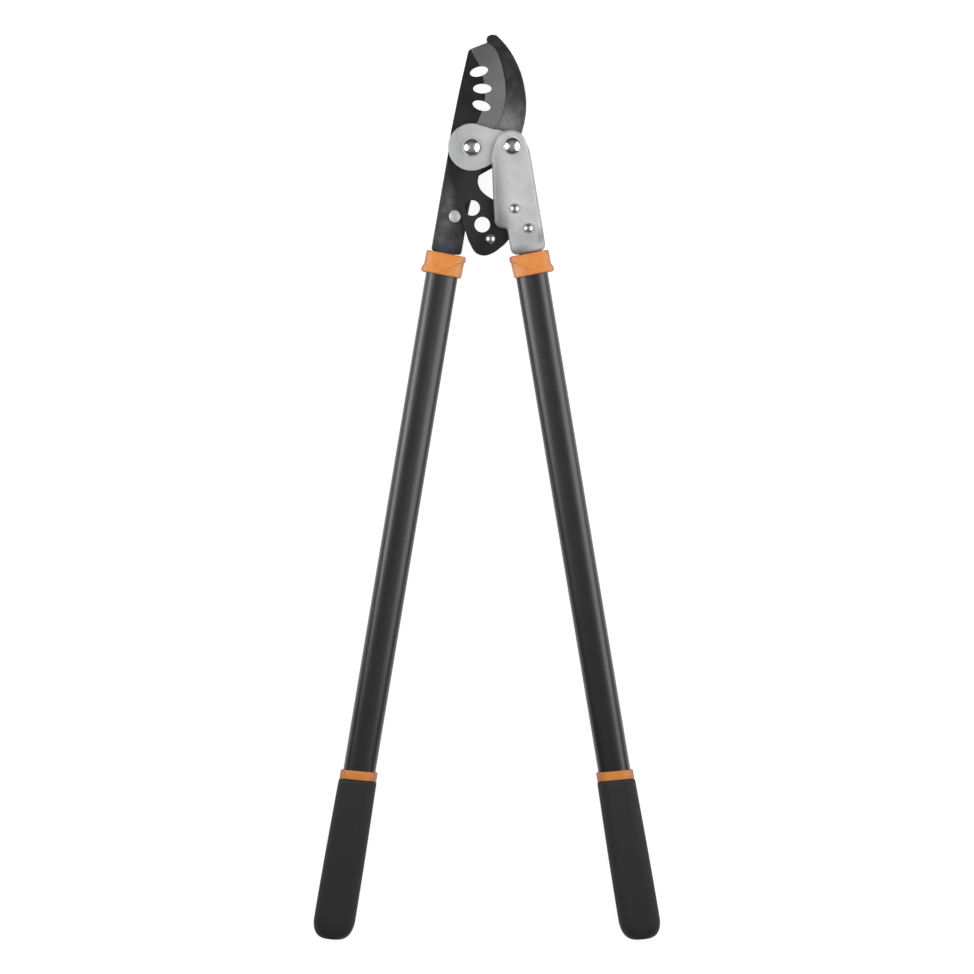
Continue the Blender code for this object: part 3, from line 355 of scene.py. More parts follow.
def coat_finish():
    """The blade's smooth black low-friction coating, greyer on the tail and at the root."""
    made, tree, shader = finish("blade_coating", 0.4, 0.0)
    clouds = noise(tree, place(tree), 14 * MM, 4.0, 0.6)
    colour = spread(tree, clouds, (0.003, 0.003, 0.0033), (0.008, 0.008, 0.0083))
    colour = tint(tree, colour, BLADE_TAIL, 0.025, 0.8, 0.4)
    colour = tint(tree, colour, BLADE_ROOT, 0.016, 0.7, 0.5)
    grain = bump(tree, noise(tree, place(tree, (1.0, 0.12, 1.0), 0.2), 0.5 * MM, 3.0, 0.6), 0.015 * MM, 0.5)
    link(tree, shader, Base_Color=colour, Roughness=spread(tree, clouds, 0.34, 0.46), Normal=grain)
    return made


def ground_finish():
    """Bare ground steel of the bevel, with grinding marks that run from the ridge to the edge."""
    made, tree, shader = finish("ground_bevel", 0.4, 0.45)
    marks = noise(tree, place(tree, (0.035, 1.0, 1.0), -0.25), 0.35 * MM, 4.0, 0.7)
    clouds = noise(tree, place(tree), 12 * MM, 2.0)
    colour = mix(tree, 0.4, spread(tree, marks, 0.125, 0.225), spread(tree, clouds, 0.13, 0.205))
    colour = tint(tree, colour, BEVEL_TIP, 0.12, 0.6, 0.6)
    grooves = bump(tree, marks, 0.012 * MM, 0.5)
    link(tree, shader, Base_Color=colour, Roughness=spread(tree, marks, 0.34, 0.5), Normal=grooves)
    return made


def satin_colour(tree, low, high):
    """The cloudy light grey of satin plating, with a faint grain."""
    clouds = noise(tree, place(tree), 16 * MM, 4.0, 0.55)
    mottle = noise(tree, place(tree, (1.0, 0.5, 1.0)), 2.5 * MM, 3.0, 0.6)
    grain = noise(tree, place(tree), 0.5 * MM, 2.0, 0.6)
    colour = spread(tree, clouds, low, high)
    colour = mix(tree, 0.1, colour, spread(tree, mottle, 0.2, 0.8), "OVERLAY")
    colour = mix(tree, 0.12, colour, spread(tree, grain, 0.2, 0.8), "OVERLAY")
    return colour, clouds, bump(tree, grain, 0.02 * MM, 0.5)


def satin_finish():
    """Satin plated steel: even, light, with a faint grain."""
    made, tree, shader = finish("satin_plating", 0.42, 0.25)
    colour, clouds, grain = satin_colour(tree, (0.49, 0.495, 0.5), 0.61)
    colour = tint(tree, colour, PLATE_MIDDLE, 0.7, 0.8, 0.5)
    link(tree, shader, Base_Color=colour, Roughness=spread(tree, clouds, 0.4, 0.52), Normal=grain)
    return made


def arm_finish():
    """The front plate: satin plating, with painted shade that darkens its rounded flank, its left side, its
    lobe and its lower end at the collar.
    """
    made, tree, shader = finish("satin_arm", 0.45, 0.2)
    colour, clouds, grain = satin_colour(tree, (0.58, 0.585, 0.59), 0.71)
    # Painted shade: faces turned away from the front are painted darker, but not about the eye
    painted_flank_shade = ramp(tree, facing_front(tree), [(0.3, 0.5), (0.8, 0.72), (0.99, 1.0)])
    painted_flank_shade = tint(tree, painted_flank_shade, ARM_EYE, 1.0, 0.9, 0.12)
    colour = mix(tree, 1.0, colour, painted_flank_shade, "MULTIPLY")
    # Painted shadows: each listed spot is painted darker, as shade falls there
    for spot, share, grey in PAINTED_ARM_SHADOWS:
        fall = [(0.0, 0.0), (0.25, 0.55 * share), (0.7, share)]
        colour = mix(tree, ramp(tree, near(tree, spot), fall), colour, grey)
    link(tree, shader, Base_Color=colour, Roughness=spread(tree, clouds, 0.42, 0.55), Normal=grain)
    return made


def metal_finish(name, roughness, patch, colours, levels):
    """Bare polished or turned metal, worn in faint patches of two colours and two levels of roughness."""
    made, tree, shader = finish(name, roughness, 1.0)
    clouds = noise(tree, place(tree), patch)
    link(tree, shader, Base_Color=spread(tree, clouds, *colours), Roughness=spread(tree, clouds, *levels))
    return made


def tube_finish():
    """Gloss black powder coat, with the slight waviness that such a coat has."""
    made, tree, shader = finish("gloss_black_coat", 0.34, 0.0)
    shader.inputs["Specular IOR Level"].default_value = 0.85
    clouds = noise(tree, place(tree), 30 * MM, 3.0)
    colour = spread(tree, clouds, (0.008, 0.0077, 0.008), (0.0115, 0.011, 0.0115))
    peel = bump(tree, noise(tree, place(tree), 1.6 * MM, 2.0), 0.02 * MM, 0.4)
    link(tree, shader, Base_Color=colour, Roughness=spread(tree, clouds, 0.32, 0.36), Normal=peel)
    return made


def orange_finish(name, low, high):
    """Moulded orange plastic, semi-gloss, with painted shade darker on its sides and a painted highlight
    paler at each collar's inner corner.
    """
    made, tree, shader = finish(name, 0.42, 0.0)
    clouds = noise(tree, place(tree), 9 * MM, 3.0)
    colour = spread(tree, clouds, low, high)
    # Painted shade: faces turned away from the front are painted darker and browner
    level = maths(tree, "ABSOLUTE", facing_front(tree))
    painted_side_shades = [(0.22, (0.34, 0.115, 0.03)), (0.6, (0.72, 0.28, 0.10)), (1.0, (0.78, 0.32, 0.12))]
    turned = ramp(tree, level, [(0.3, 1.0), (0.75, 0.7), (0.93, 0.3), (0.995, 0.0)])
    colour = mix(tree, turned, colour, ramp(tree, level, painted_side_shades))
    # Painted highlight: each collar's sunk inner corner is painted paler
    for corner, most in ((LEFT_COLLAR_HIGHLIGHT, 0.35), (RIGHT_COLLAR_HIGHLIGHT, 0.8)):
        colour = tint(tree, colour, corner, (0.84, 0.40, 0.20), most, 0.5)
    grain = bump(tree, noise(tree, place(tree), 0.35 * MM, 2.0), 0.015 * MM, 0.5)
    link(tree, shader, Base_Color=colour, Roughness=spread(tree, clouds, 0.36, 0.5), Normal=grain)
    return made


def rubber_finish():
    """Matt black grip rubber with a fine moulded grain."""
    made, tree, shader = finish("matt_grip", 0.72, 0.0)
    clouds = noise(tree, place(tree), 18 * MM, 4.0, 0.6)
    colour = spread(tree, clouds, (0.029, 0.028, 0.0285), (0.036, 0.035, 0.0355))
    inputs = {"Vector": place(tree), "Scale": 1 / (0.7 * MM)}
    cells = add(tree, "ShaderNodeTexVoronoi", {"feature": "SMOOTH_F1"}, inputs).outputs["Distance"]
    grain = bump(tree, cells, 0.05 * MM, 0.5)
    link(tree, shader, Base_Color=colour, Roughness=spread(tree, clouds, 0.66, 0.8), Normal=grain)
    return made


def plastic_finish():
    """Plain black inner plastic."""
    made, tree, shader = finish("inner_plastic", 0.55, 0.0)
    clouds = noise(tree, place(tree), 8 * MM, 3.0)
    grain = bump(tree, noise(tree, place(tree), 0.4 * MM), 0.02 * MM, 0.5)
    link(tree, shader, Base_Color=spread(tree, clouds, 0.035, 0.05), Normal=grain)
    return made


FINISHES = {
    "forging": forging_finish(),
    "blade_coat": coat_finish(),
    "bright_steel": satin_finish(),
    "rivet_chrome": metal_finish("polished_heads", 0.17, 2.5 * MM, (0.7, 0.84), (0.12, 0.22)),
    "tube_black": tube_finish(),
    "orange_plastic": orange_finish("orange_moulding", (0.82, 0.265, 0.045), (0.88, 0.32, 0.078)),
    "grip_rubber": rubber_finish(),
    "sleeve_plastic": plastic_finish(),
    "bush_bronze": metal_finish(
        "turned_bronze", 0.35, 3 * MM, ((0.42, 0.24, 0.1), (0.6, 0.38, 0.17)), (0.28, 0.45)
    ),
}
GROUND = ground_finish()
ARM = arm_finish()
RIVETS = metal_finish("rivet_heads", 0.3, 1.5 * MM, (0.5, 0.66), (0.26, 0.36))
RING = orange_finish("orange_ring", (0.94, 0.31, 0.055), (0.98, 0.36, 0.09))


# Reading the frame

def slot_of(node):
    """The record's material slot of a CAD node."""
    return next(s["material_slot"] for s in frame["record"]["subparts"] if s["node"] == node)


def body_of(node):
    """The body that a CAD node rides on."""
    return next(b for b, nodes in frame["record"]["behaviour"]["bodies"].items() if node in nodes)


def corners(node):
    """The corners of a CAD node, each once."""
    return list({tuple(v.co): v.co.copy() for v in frame["nodes"][node].data.vertices}.values())


def middle_of(points):
    """The mean of some points."""
    return sum(points, Vector((0.0, 0.0, 0.0))) / len(points)


def area(loop):
    """The signed area inside a flat outline."""
    return sum(a.cross(b) for a, b in zip(loop, loop[1:] + loop[:1])) / 2


def sections(node, height, local=Matrix.Identity(4)):
    """The closed outlines where a level plane of a local frame cuts a CAD node, largest first."""
    work = bmesh.new()
    work.from_mesh(frame["nodes"][node].data)
    work.transform(local.inverted())
    bmesh.ops.remove_doubles(work, verts=work.verts, dist=MERGE)
    everything = work.verts[:] + work.edges[:] + work.faces[:]
    bmesh.ops.bisect_plane(
        work, geom=everything, plane_co=(0, 0, height), plane_no=(0, 0, 1), clear_inner=True, clear_outer=True
    )
    bmesh.ops.remove_doubles(work, verts=work.verts, dist=2 * MERGE)
    bmesh.ops.dissolve_limit(work, angle_limit=0.003, verts=work.verts, edges=work.edges)
    found = []
    passed = set()
    for first in work.verts:
        if first in passed:
            continue
        loop = []
        ahead = [first]
        while ahead:
            loop.append(ahead[0])
            passed.add(ahead[0])
            ahead = [v for v in (e.other_vert(loop[-1]) for e in loop[-1].link_edges) if v not in passed]
        flat = [v.co.xy.copy() for v in loop]
        found.append(flat if area(flat) > 0 else flat[::-1])
    work.free()
    return sorted(found, key=lambda loop: -area(loop))


def handle_frame(label):
    """A handle's own axes from the middle of its collar: X across, Y towards the front, Z down the tube."""
    ring = middle_of(corners(label + "_grip_ring"))
    tube = corners(label + "_tube")
    lowest = min(p.y for p in tube)
    down = (middle_of([p for p in tube if p.y < lowest + TUBE_END_BAND]) - ring).normalized()
    front = Vector((0.0, 0.0, 1.0))
    along = [(p - ring).dot(down) for p in corners(label + "_collar")]
    start = ring + down * (min(along) + max(along)) / 2
    turn = Matrix((front.cross(down), front, down)).transposed().to_4x4()
    return Matrix.Translation(start) @ turn


def reach(node, local, axis=2):
    """The lowest and highest place of a CAD node along an axis of a local frame."""
    back = local.inverted()
    places = [(back @ p)[axis] for p in corners(node)]
    return min(places), max(places)


# Outlines

def smooth(points, steps, closed=False):
    """A smooth curve through the points; an open one keeps its ends."""
    spaced = [Vector(p) for p in points]
    if closed:
        ends = [spaced[-1]] + spaced + spaced[:2]
    else:
        ends = [2 * spaced[0] - spaced[1]] + spaced + [2 * spaced[-1] - spaced[-2]]
    found = []
    for a, b, c, d in zip(ends, ends[1:], ends[2:], ends[3:]):
        for i in range(steps):
            t = i / steps
            curve = 2 * b + (c - a) * t + (2 * a - 5 * b + 4 * c - d) * t**2 + (3 * b - a - 3 * c + d) * t**3
            found.append(curve / 2)
    return found if closed else found + [spaced[-1]]


def eased(points, steps=5):
    """An outline in which each corner written (x, y, width) is rounded off over that width."""
    found = []
    for i, point in enumerate(points):
        here = Vector(point[:2])
        if len(point) == 2:
            found.append(here)
            continue
        before = here + (Vector(points[i - 1][:2]) - here).normalized() * point[2]
        after = here + (Vector(points[(i + 1) % len(points)][:2]) - here).normalized() * point[2]
        for k in range(steps + 1):
            t = k / steps
            found.append(before.lerp(here, t).lerp(here.lerp(after, t), t))
    return found


def dome(radius, height, base, steps=24):
    """The (radius, height) points of a shallow spherical head, from its crown to its rim."""
    sphere = (radius**2 + height**2) / (2 * height)
    widest = math.asin(radius / sphere)
    angles = [widest * i / steps for i in range(steps + 1)]
    return [(sphere * math.sin(a), base + height - sphere * (1 - math.cos(a))) for a in angles]


def rounded_box(half, thick, corner, corner_steps=10, side_steps=30):
    """A rectangle about the axis with rounded corners, with as many points at every size."""
    corner = min(corner, 0.9 * half, 0.9 * thick)
    turns = []
    for quarter, (x, y) in enumerate(((1, 1), (-1, 1), (-1, -1), (1, -1))):
        middle = Vector((x * (half - corner), y * (thick - corner)))
        for i in range(corner_steps + 1):
            a = math.pi / 2 * (quarter + i / corner_steps)
            turns.append(middle + corner * Vector((math.cos(a), math.sin(a))))
    found = []
    for i, point in enumerate(turns):
        found.append(point)
        if i % (corner_steps + 1) == corner_steps:
            ahead = turns[(i + 1) % len(turns)]
            found += [point.lerp(ahead, k / side_steps) for k in range(1, side_steps)]
    return found


def squared_oval(half, thick, squareness, steps=44):
    """A rectangle about the axis whose sides curve all the way, with as many points at every size."""
    found = []
    for k in range(4 * steps):
        a = math.pi / 2 * k / steps
        c, s = math.cos(a), math.sin(a)
        x = math.copysign(abs(c) ** (2 / squareness), c)
        y = math.copysign(abs(s) ** (2 / squareness), s)
        found.append(Vector((half * x, thick * y)))
    return found


def at_angles(loop, like):
    """The points of a loop round the axis that lie at the angles of another loop's points."""
    found = []
    for point in like:
        ray = point.normalized()
        for a, b in zip(loop, loop[1:] + loop[:1]):
            slope = ray.cross(b - a)
            if abs(slope) < PARALLEL:
                continue
            t = -ray.cross(a) / slope
            here = a.lerp(b, t)
            if -TINY <= t <= 1 + TINY and here.dot(ray) > 0:
                found.append(here)
                break
    return found


def wall(low, high, low_round, high_round, steps=6):
    """The (distance, inset) pairs of the two rounded rims of a wall, its first rim and then its last."""
    angles = [math.pi / 2 * i / steps for i in range(steps + 1)]
    first = [(low + low_round * (1 - math.sin(a)), low_round * (1 - math.cos(a))) for a in reversed(angles)]
    last = [(high - high_round * (1 - math.sin(a)), high_round * (1 - math.cos(a))) for a in angles]
    return first, last


# Making pieces

def dress(piece, node):
    """Lets a new piece stand for a CAD node: its body, slot and finish are the node's."""
    if not piece.users_collection:
        bpy.context.scene.collection.objects.link(piece)
    if not piece.data.materials:
        piece.data.materials.append(FINISHES[slot_of(node)])
    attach(piece, body_of(node))
    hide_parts(node)
    return piece


def shade(mesh, angle=35):
    """Smooth shading, with the corners sharper than an angle left sharp."""
    mesh.shade_smooth()
    mesh.set_sharp_from_angle(angle=math.radians(angle))


def even_shading(piece):
    """Keeps flat faces flat where they meet rounded rims."""
    flat = piece.modifiers.new("flat faces", "WEIGHTED_NORMAL")
    flat.keep_sharp = True


def flat_body(name, loop, low, high):
    """A straight-sided solid between two heights inside one outline."""
    work = bmesh.new()
    ring = [work.verts.new((x, y, low)) for x, y in loop]
    lid = work.faces.new(ring)
    top = bmesh.ops.extrude_face_region(work, geom=[lid])
    raised = [g for g in top["geom"] if isinstance(g, bmesh.types.BMVert)]
    bmesh.ops.translate(work, verts=raised, vec=(0, 0, high - low))
    bmesh.ops.recalc_face_normals(work, faces=work.faces)
    mesh = bpy.data.meshes.new(name)
    work.to_mesh(mesh)
    work.free()
    return mesh


def round_rims(mesh, heights, segments):
    """Rounds the rims that lie at given heights, each by its own width."""
    work = bmesh.new()
    work.from_mesh(mesh)
    for height, width in heights.items():
        rims = [e for e in work.edges if all(abs(v.co.z - height) < MERGE for v in e.verts)]
        bmesh.ops.bevel(
            work, geom=rims, offset=width, segments=segments, profile=0.5, affect="EDGES", clamp_overlap=False
        )
    work.to_mesh(mesh)
    work.free()


def merge_points(mesh):
    """Joins the points of a mesh that lie at one place, and drops the faces that close up there."""
    work = bmesh.new()
    work.from_mesh(mesh)
    bmesh.ops.remove_doubles(work, verts=work.verts, dist=MERGE)
    work.to_mesh(mesh)
    work.free()


def applied(piece):
    """Applies a piece's modifiers to its mesh."""
    graph = bpy.context.evaluated_depsgraph_get()
    mesh = bpy.data.meshes.new_from_object(piece.evaluated_get(graph))
    piece.modifiers.clear()
    piece.data = mesh
    return piece


def cut(piece, meshes):
    """Cuts meshes from a piece and applies the result."""
    tools = []
    for mesh in meshes:
        tool = bpy.data.objects.new(mesh.name, mesh)
        bpy.context.scene.collection.objects.link(tool)
        tools.append(tool)
        modifier = piece.modifiers.new(tool.name, "BOOLEAN")
        modifier.operation = "DIFFERENCE"
        modifier.solver = "EXACT"
        modifier.object = tool
    applied(piece)
    for tool in tools:
        bpy.data.objects.remove(tool)
    return piece


def plate_piece(node, front_round, back_round, segments=4):
    """A plate with rounded rims, cut to the outline and holes of its CAD node."""
    low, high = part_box(node)[0].z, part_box(node)[1].z
    found = sections(node, low + (high - low) * PLATE_LEVEL)
    mesh = flat_body(node + "_form", found[0], low, high)
    round_rims(mesh, {high: front_round, low: back_round}, segments)
    piece = bpy.data.objects.new(node + "_form", mesh)
    bpy.context.scene.collection.objects.link(piece)
    below, above = low - CUTTER_REACH, high + CUTTER_REACH
    holes = [flat_body(f"{node}_hole_{i}", loop, below, above) for i, loop in enumerate(found[1:])]
    cut(piece, holes)
    shade(piece.data)
    even_shading(piece)
    return dress(piece, node)


def revolved(name, profile, centre):
    """A turned solid about the vertical, from (radius, height) points running from the top down and, for a
    ring, back up its inside."""
    work = bmesh.new()
    rows = []
    for radius, height in profile:
        if radius < TINY:
            rows.append([work.verts.new((centre.x, centre.y, height))] * TURNED_STEPS)
            continue
        row = []
        for k in range(TURNED_STEPS):
            a = 2 * math.pi * k / TURNED_STEPS
            x, y = centre.x + radius * math.cos(a), centre.y + radius * math.sin(a)
            row.append(work.verts.new((x, y, height)))
        rows.append(row)
    if profile[0][0] > TINY:
        rows.append(rows[0])
    for upper, lower in zip(rows, rows[1:]):
        for k in range(TURNED_STEPS):
            ahead = (k + 1) % TURNED_STEPS
            ring = [upper[k], upper[ahead], lower[ahead], lower[k]]
            ring = [v for n, v in enumerate(ring) if v not in ring[:n]]
            if len(ring) > 2:
                work.faces.new(ring)
    bmesh.ops.recalc_face_normals(work, faces=work.faces)
    mesh = bpy.data.meshes.new(name)
    work.to_mesh(mesh)
    work.free()
    return mesh


def turned_piece(node, profile):
    """A turned piece that stands for a CAD node."""
    low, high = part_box(node)
    mesh = revolved(node + "_form", profile, (low + high) / 2)
    shade(mesh)
    return dress(bpy.data.objects.new(mesh.name, mesh), node)


def lofted(name, rows, local, ring=False):
    """A solid through rows of (x, y, distance) points of a local frame. A ring joins its last row to its
    first, and any other is closed at both ends."""
    work = bmesh.new()
    made = [[work.verts.new(local @ Vector(p)) for p in row] for row in rows]
    pairs = list(zip(made, made[1:]))
    if ring:
        pairs.append((made[-1], made[0]))
    else:
        work.faces.new(made[0])
        work.faces.new(made[-1])
    for upper, lower in pairs:
        for k in range(len(upper)):
            ahead = (k + 1) % len(upper)
            work.faces.new((upper[k], upper[ahead], lower[ahead], lower[k]))
    bmesh.ops.recalc_face_normals(work, faces=work.faces)
    mesh = bpy.data.meshes.new(name)
    work.to_mesh(mesh)
    work.free()
    return mesh


# Head

def make_head_plates():
    """The flat pieces of the head, the front plate in its own finish."""
    plate_piece("hook_arm", FORGED_ROUND, FORGED_ROUND)
    plate_piece("pivot_plate", PRESSED_ROUND, PRESSED_ROUND)
    plate_piece("arm_back_plate", PRESSED_ROUND, PRESSED_ROUND)
    plate_piece("link_bar", PRESSED_ROUND, PRESSED_ROUND)
    front = plate_piece("arm_front_plate", ARM_ROUND, PRESSED_ROUND, 8)
    front.data.materials.clear()
    front.data.materials.append(ARM)


def make_blade():
    """The blade's own solid with fine edges, coated but for its bevel of ground steel."""
    mesh = frame["nodes"]["blade"].data.copy()
    mesh.name = "blade_form"
    work = bmesh.new()
    work.from_mesh(mesh)
    bmesh.ops.remove_doubles(work, verts=work.verts, dist=MERGE)
    bmesh.ops.dissolve_limit(work, angle_limit=0.002, verts=work.verts, edges=work.edges)
    for face in work.faces:
        face.normal_update()
        face.material_index = 1 if BEVEL_FACING[0] < face.normal.z < BEVEL_FACING[1] else 0
    mesh.materials.clear()
    mesh.materials.append(FINISHES["blade_coat"])
    mesh.materials.append(GROUND)
    work.to_mesh(mesh)
    work.free()
    piece = bpy.data.objects.new("blade_form", mesh)
    bpy.context.scene.collection.objects.link(piece)
    edges = piece.modifiers.new("edges", "BEVEL")
    edges.width = BLADE_EDGE
    edges.segments = 2
    edges.limit_method = "ANGLE"
    edges.angle_limit = math.radians(40)
    edges.use_clamp_overlap = False
    applied(piece)
    mesh = piece.data
    shade(mesh, 50)
    finishes_at = {}
    for face in mesh.polygons:
        for key in face.edge_keys:
            finishes_at.setdefault(key, set()).add(face.material_index)
    for edge in mesh.edges:
        if len(finishes_at.get(edge.key, ())) > 1:
            edge.use_edge_sharp = True
    even_shading(piece)
    dress(piece, "blade")


def bolt_profile(radius, foot, low):
    """A domed head over a plain shank that ends in a chamfer."""
    rim = foot + BOLT_RIM
    head = dome(radius, BOLT_DOME, rim)
    below = eased([
        (radius, rim), (radius - BOLT_TAPER, foot, TURNED_ROUND), (BOLT_RADIUS, foot),
        (BOLT_RADIUS, low, BOLT_CHAMFER), (0.0, low),
    ])
    return head + [tuple(p) for p in below[1:]]


def make_fasteners():
    """The bolts, rivets, stop pin, washers, spacer and bushes, all turned."""
    for node in ("main_pivot_bolt", "arm_pivot_bolt"):
        low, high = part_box(node)
        turned_piece(node, bolt_profile((high.x - low.x) / 2, high.z - BOLT_DOME - BOLT_RIM, low.z))
    for node in ("tail_rivet", "link_rivet", "arm_tang_rivet"):
        low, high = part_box(node)
        radius = (high.x - low.x) / 2
        front, back = high.z - RIVET_DOME, low.z + RIVET_BACK_DOME
        behind = [(r, back - (h - back)) for r, h in reversed(dome(radius, RIVET_BACK_DOME, back))]
        profile = dome(radius, RIVET_DOME, front) + [(RIVET_RADIUS, front), (RIVET_RADIUS, back)] + behind
        rivet = turned_piece(node, profile)
        rivet.data.materials.clear()
        rivet.data.materials.append(RIVETS)
    low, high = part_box("stop_pin")
    radius = (high.x - low.x) / 2
    pin = dome(radius, STOP_PIN_DOME, high.z - STOP_PIN_DOME)
    pin += [(radius, BLADE_BACK), (STOP_PIN_BACK, BLADE_BACK), (STOP_PIN_BACK, low.z), (0.0, low.z)]
    turned_piece("stop_pin", pin)
    rings = {
        "main_pivot_washer": BOLT_RADIUS, "arm_pivot_washer": BOLT_RADIUS, "pivot_spacer": BOLT_RADIUS,
        "blade_bush": BOLT_RADIUS, "link_bush": RIVET_RADIUS,
    }
    for node, shank in rings.items():
        low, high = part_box(node)
        inner, outer = shank + FIT, (high.x - low.x) / 2
        profile = eased([
            (inner, high.z, TURNED_ROUND), (outer, high.z, TURNED_ROUND),
            (outer, low.z, TURNED_ROUND), (inner, low.z, TURNED_ROUND),
        ], 3)
        turned_piece(node, [tuple(p) for p in profile])


def make_nuts():
    """Hexagon nuts with their corners turned down on both faces, their section swept round the bolt."""
    for node in ("main_pivot_nut", "arm_pivot_nut"):
        low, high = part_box(node)
        middle = (low + high) / 2
        across = high - low
        tip, flat = max(across.x, across.y) / 2, min(across.x, across.y) / 2
        first = 0.0 if across.x > across.y else math.pi / 6
        face, hole = flat - NUT_CHAMFER, BOLT_RADIUS + FIT
        slope = (tip - flat) * NUT_FALL / (tip + NUT_CHAMFER - face)
        columns = []
        for k in range(TURNED_STEPS):
            a = 2 * math.pi * k / TURNED_STEPS
            out = tip * math.cos(math.pi / 6) / math.cos((a - first) % (math.pi / 3) - math.pi / 6)
            edge = min(face, out)
            fall = (out - edge) * slope
            section = [
                (hole, high.z), (edge, high.z), (out, high.z - fall),
                (out, low.z + fall), (edge, low.z), (hole, low.z),
            ]
            columns.append([(middle.x + r * math.cos(a), middle.y + r * math.sin(a), z) for r, z in section])
        mesh = lofted(node + "_form", zip(*columns), Matrix.Identity(4), ring=True)
        merge_points(mesh)
        piece = bpy.data.objects.new(mesh.name, mesh)
        shade(mesh, 20)
        even_shading(piece)
        dress(piece, node)


# Handles

def make_tube(label, local):
    """The oval tube, its section refined to a smooth oval."""
    node = label + "_tube"
    top, end = reach(node, local)
    outer, inner = (smooth(loop, 3, closed=True) for loop in sections(node, (top + end) / 2, local))
    inner = at_angles(inner, outer)
    shrunk = [p * (1 - TUBE_LIP / p.length) for p in outer]
    rows = [
        (inner, top), (shrunk, top), (outer, top + TUBE_LIP),
        (outer, end - TUBE_LIP), (shrunk, end), (inner, end),
    ]
    mesh = lofted(node + "_form", [[(*p, along) for p in loop] for loop, along in rows], local, ring=True)
    shade(mesh)
    dress(bpy.data.objects.new(mesh.name, mesh), node)


def sweep_share(curve, inward, along):
    """How far a place on the collar's face lies in the sunk corner below the sweep, from 0 to 1."""
    here = Vector((inward, along))
    best = None
    for a, b in zip(curve, curve[1:]):
        span = b - a
        t = min(max((here - a).dot(span) / span.length_squared, 0.0), 1.0)
        gap = here - a.lerp(b, t)
        if best is None or gap.length < best[0]:
            best = (gap.length, span.cross(gap))
    signed = math.copysign(best[0], -best[1]) / SWEEP_SOFTNESS
    t = min(max((signed + 1) / 2, 0.0), 1.0)
    return t * t * (3 - 2 * t)


def make_collar(label, side, local):
    """The moulded collar: it swells at its lower outer corner, and each face is sunk below a swept line."""
    node = label + "_collar"
    low, high = reach(node, local)
    sides = smooth(COLLAR_SIDES, 10)
    curve = smooth([Vector(p) * MM for p in COLLAR_SWEEP], 5)
    shift = COLLAR_SHIFT[label]
    lean = side * math.tan(COLLAR_LEAN)
    first, last = wall(low, high, COLLAR_TOP_ROUND, COLLAR_LOW_ROUND)
    start, stop = first[-1][0], last[0][0]
    between = [(start + (stop - start) * k / COLLAR_ROWS, 0.0) for k in range(1, COLLAR_ROWS)]
    rows = []
    for along, inset in first + between + last:
        upper, lower = next((a, b) for a, b in zip(sides, sides[1:]) if along <= b[0] * MM + MERGE)
        share = (along / MM - upper[0]) / (lower[0] - upper[0])
        inner, outer = (upper.lerp(lower, share) * MM).yz
        middle = side * (outer - inner) / 2 + shift
        row = []
        for p in squared_oval((inner + outer) / 2 - inset, COLLAR_THICK - inset, COLLAR_SQUARENESS):
            depth = SWEEP_DEPTH * sweep_share(curve, -side * p.x, along)
            p *= 1 - depth / p.length
            row.append((p.x + middle, p.y, along - lean * p.x))
        rows.append(row)
    like = [Vector(p[:2]) for p in rows[len(rows) // 2]]
    bore = at_angles(smooth(sections(node, high - COLLAR_BORE_LEVEL, local)[1], 3, closed=True), like)
    slot = at_angles(sections(node, low + COLLAR_LID / 2, local)[1], like)
    lid = low + COLLAR_LID
    for loop, along in ((bore, high), (bore, lid), (slot, lid), (slot, low)):
        rows.append([(*p, along) for p in loop])
    mesh = lofted(node + "_form", rows, local, ring=True)
    shade(mesh, 40)
    dress(bpy.data.objects.new(mesh.name, mesh), node)


def skewed(rows, side):
    """Leans rows of points nearer to level than square across the handle."""
    lean = side * math.tan(GRIP_SKEW)
    return [[(x, y, along + lean * x) for x, y, along in row] for row in rows]


def unskewed_reach(node, side, local):
    """The distances down the handle between which a skewed node runs, on the handle's axis."""
    back = local.inverted()
    lean = side * math.tan(GRIP_SKEW)
    places = [p.z - lean * p.x for p in (back @ c for c in corners(node))]
    return min(places), max(places)


def make_ring(label, side, local):
    """The thin ring above the grip, its rims rounded."""
    node = label + "_grip_ring"
    low, high = unskewed_reach(node, side, local)
    left, right = reach(node, local, 0)
    back, front = reach(node, local, 1)
    half, thick = (right - left) / 2, (front - back) / 2
    first, last = wall(low, high, RING_ROUND, RING_ROUND)
    rows = []
    for along, inset in first + last:
        rows.append([(*p, along) for p in rounded_box(half - inset, thick - inset, GRIP_CORNER)])
    like = rounded_box(half, thick, GRIP_CORNER)
    bore = at_angles(smooth(sections(node, (low + high) / 2, local)[1], 3, closed=True), like)
    rows += [[(*p, high) for p in bore], [(*p, low) for p in bore]]
    mesh = lofted(node + "_form", skewed(rows, side), local, ring=True)
    mesh.materials.append(RING)
    shade(mesh)
    dress(bpy.data.objects.new(mesh.name, mesh), node)


def half_of(along, low, body):
    """The grip's half-width at a distance down its body."""
    share = math.sin(math.pi / 2 * min(max((along - low) / (body - low), 0.0), 1.0))
    return GRIP_TOP_HALF + (GRIP_HALF - GRIP_TOP_HALF) * share


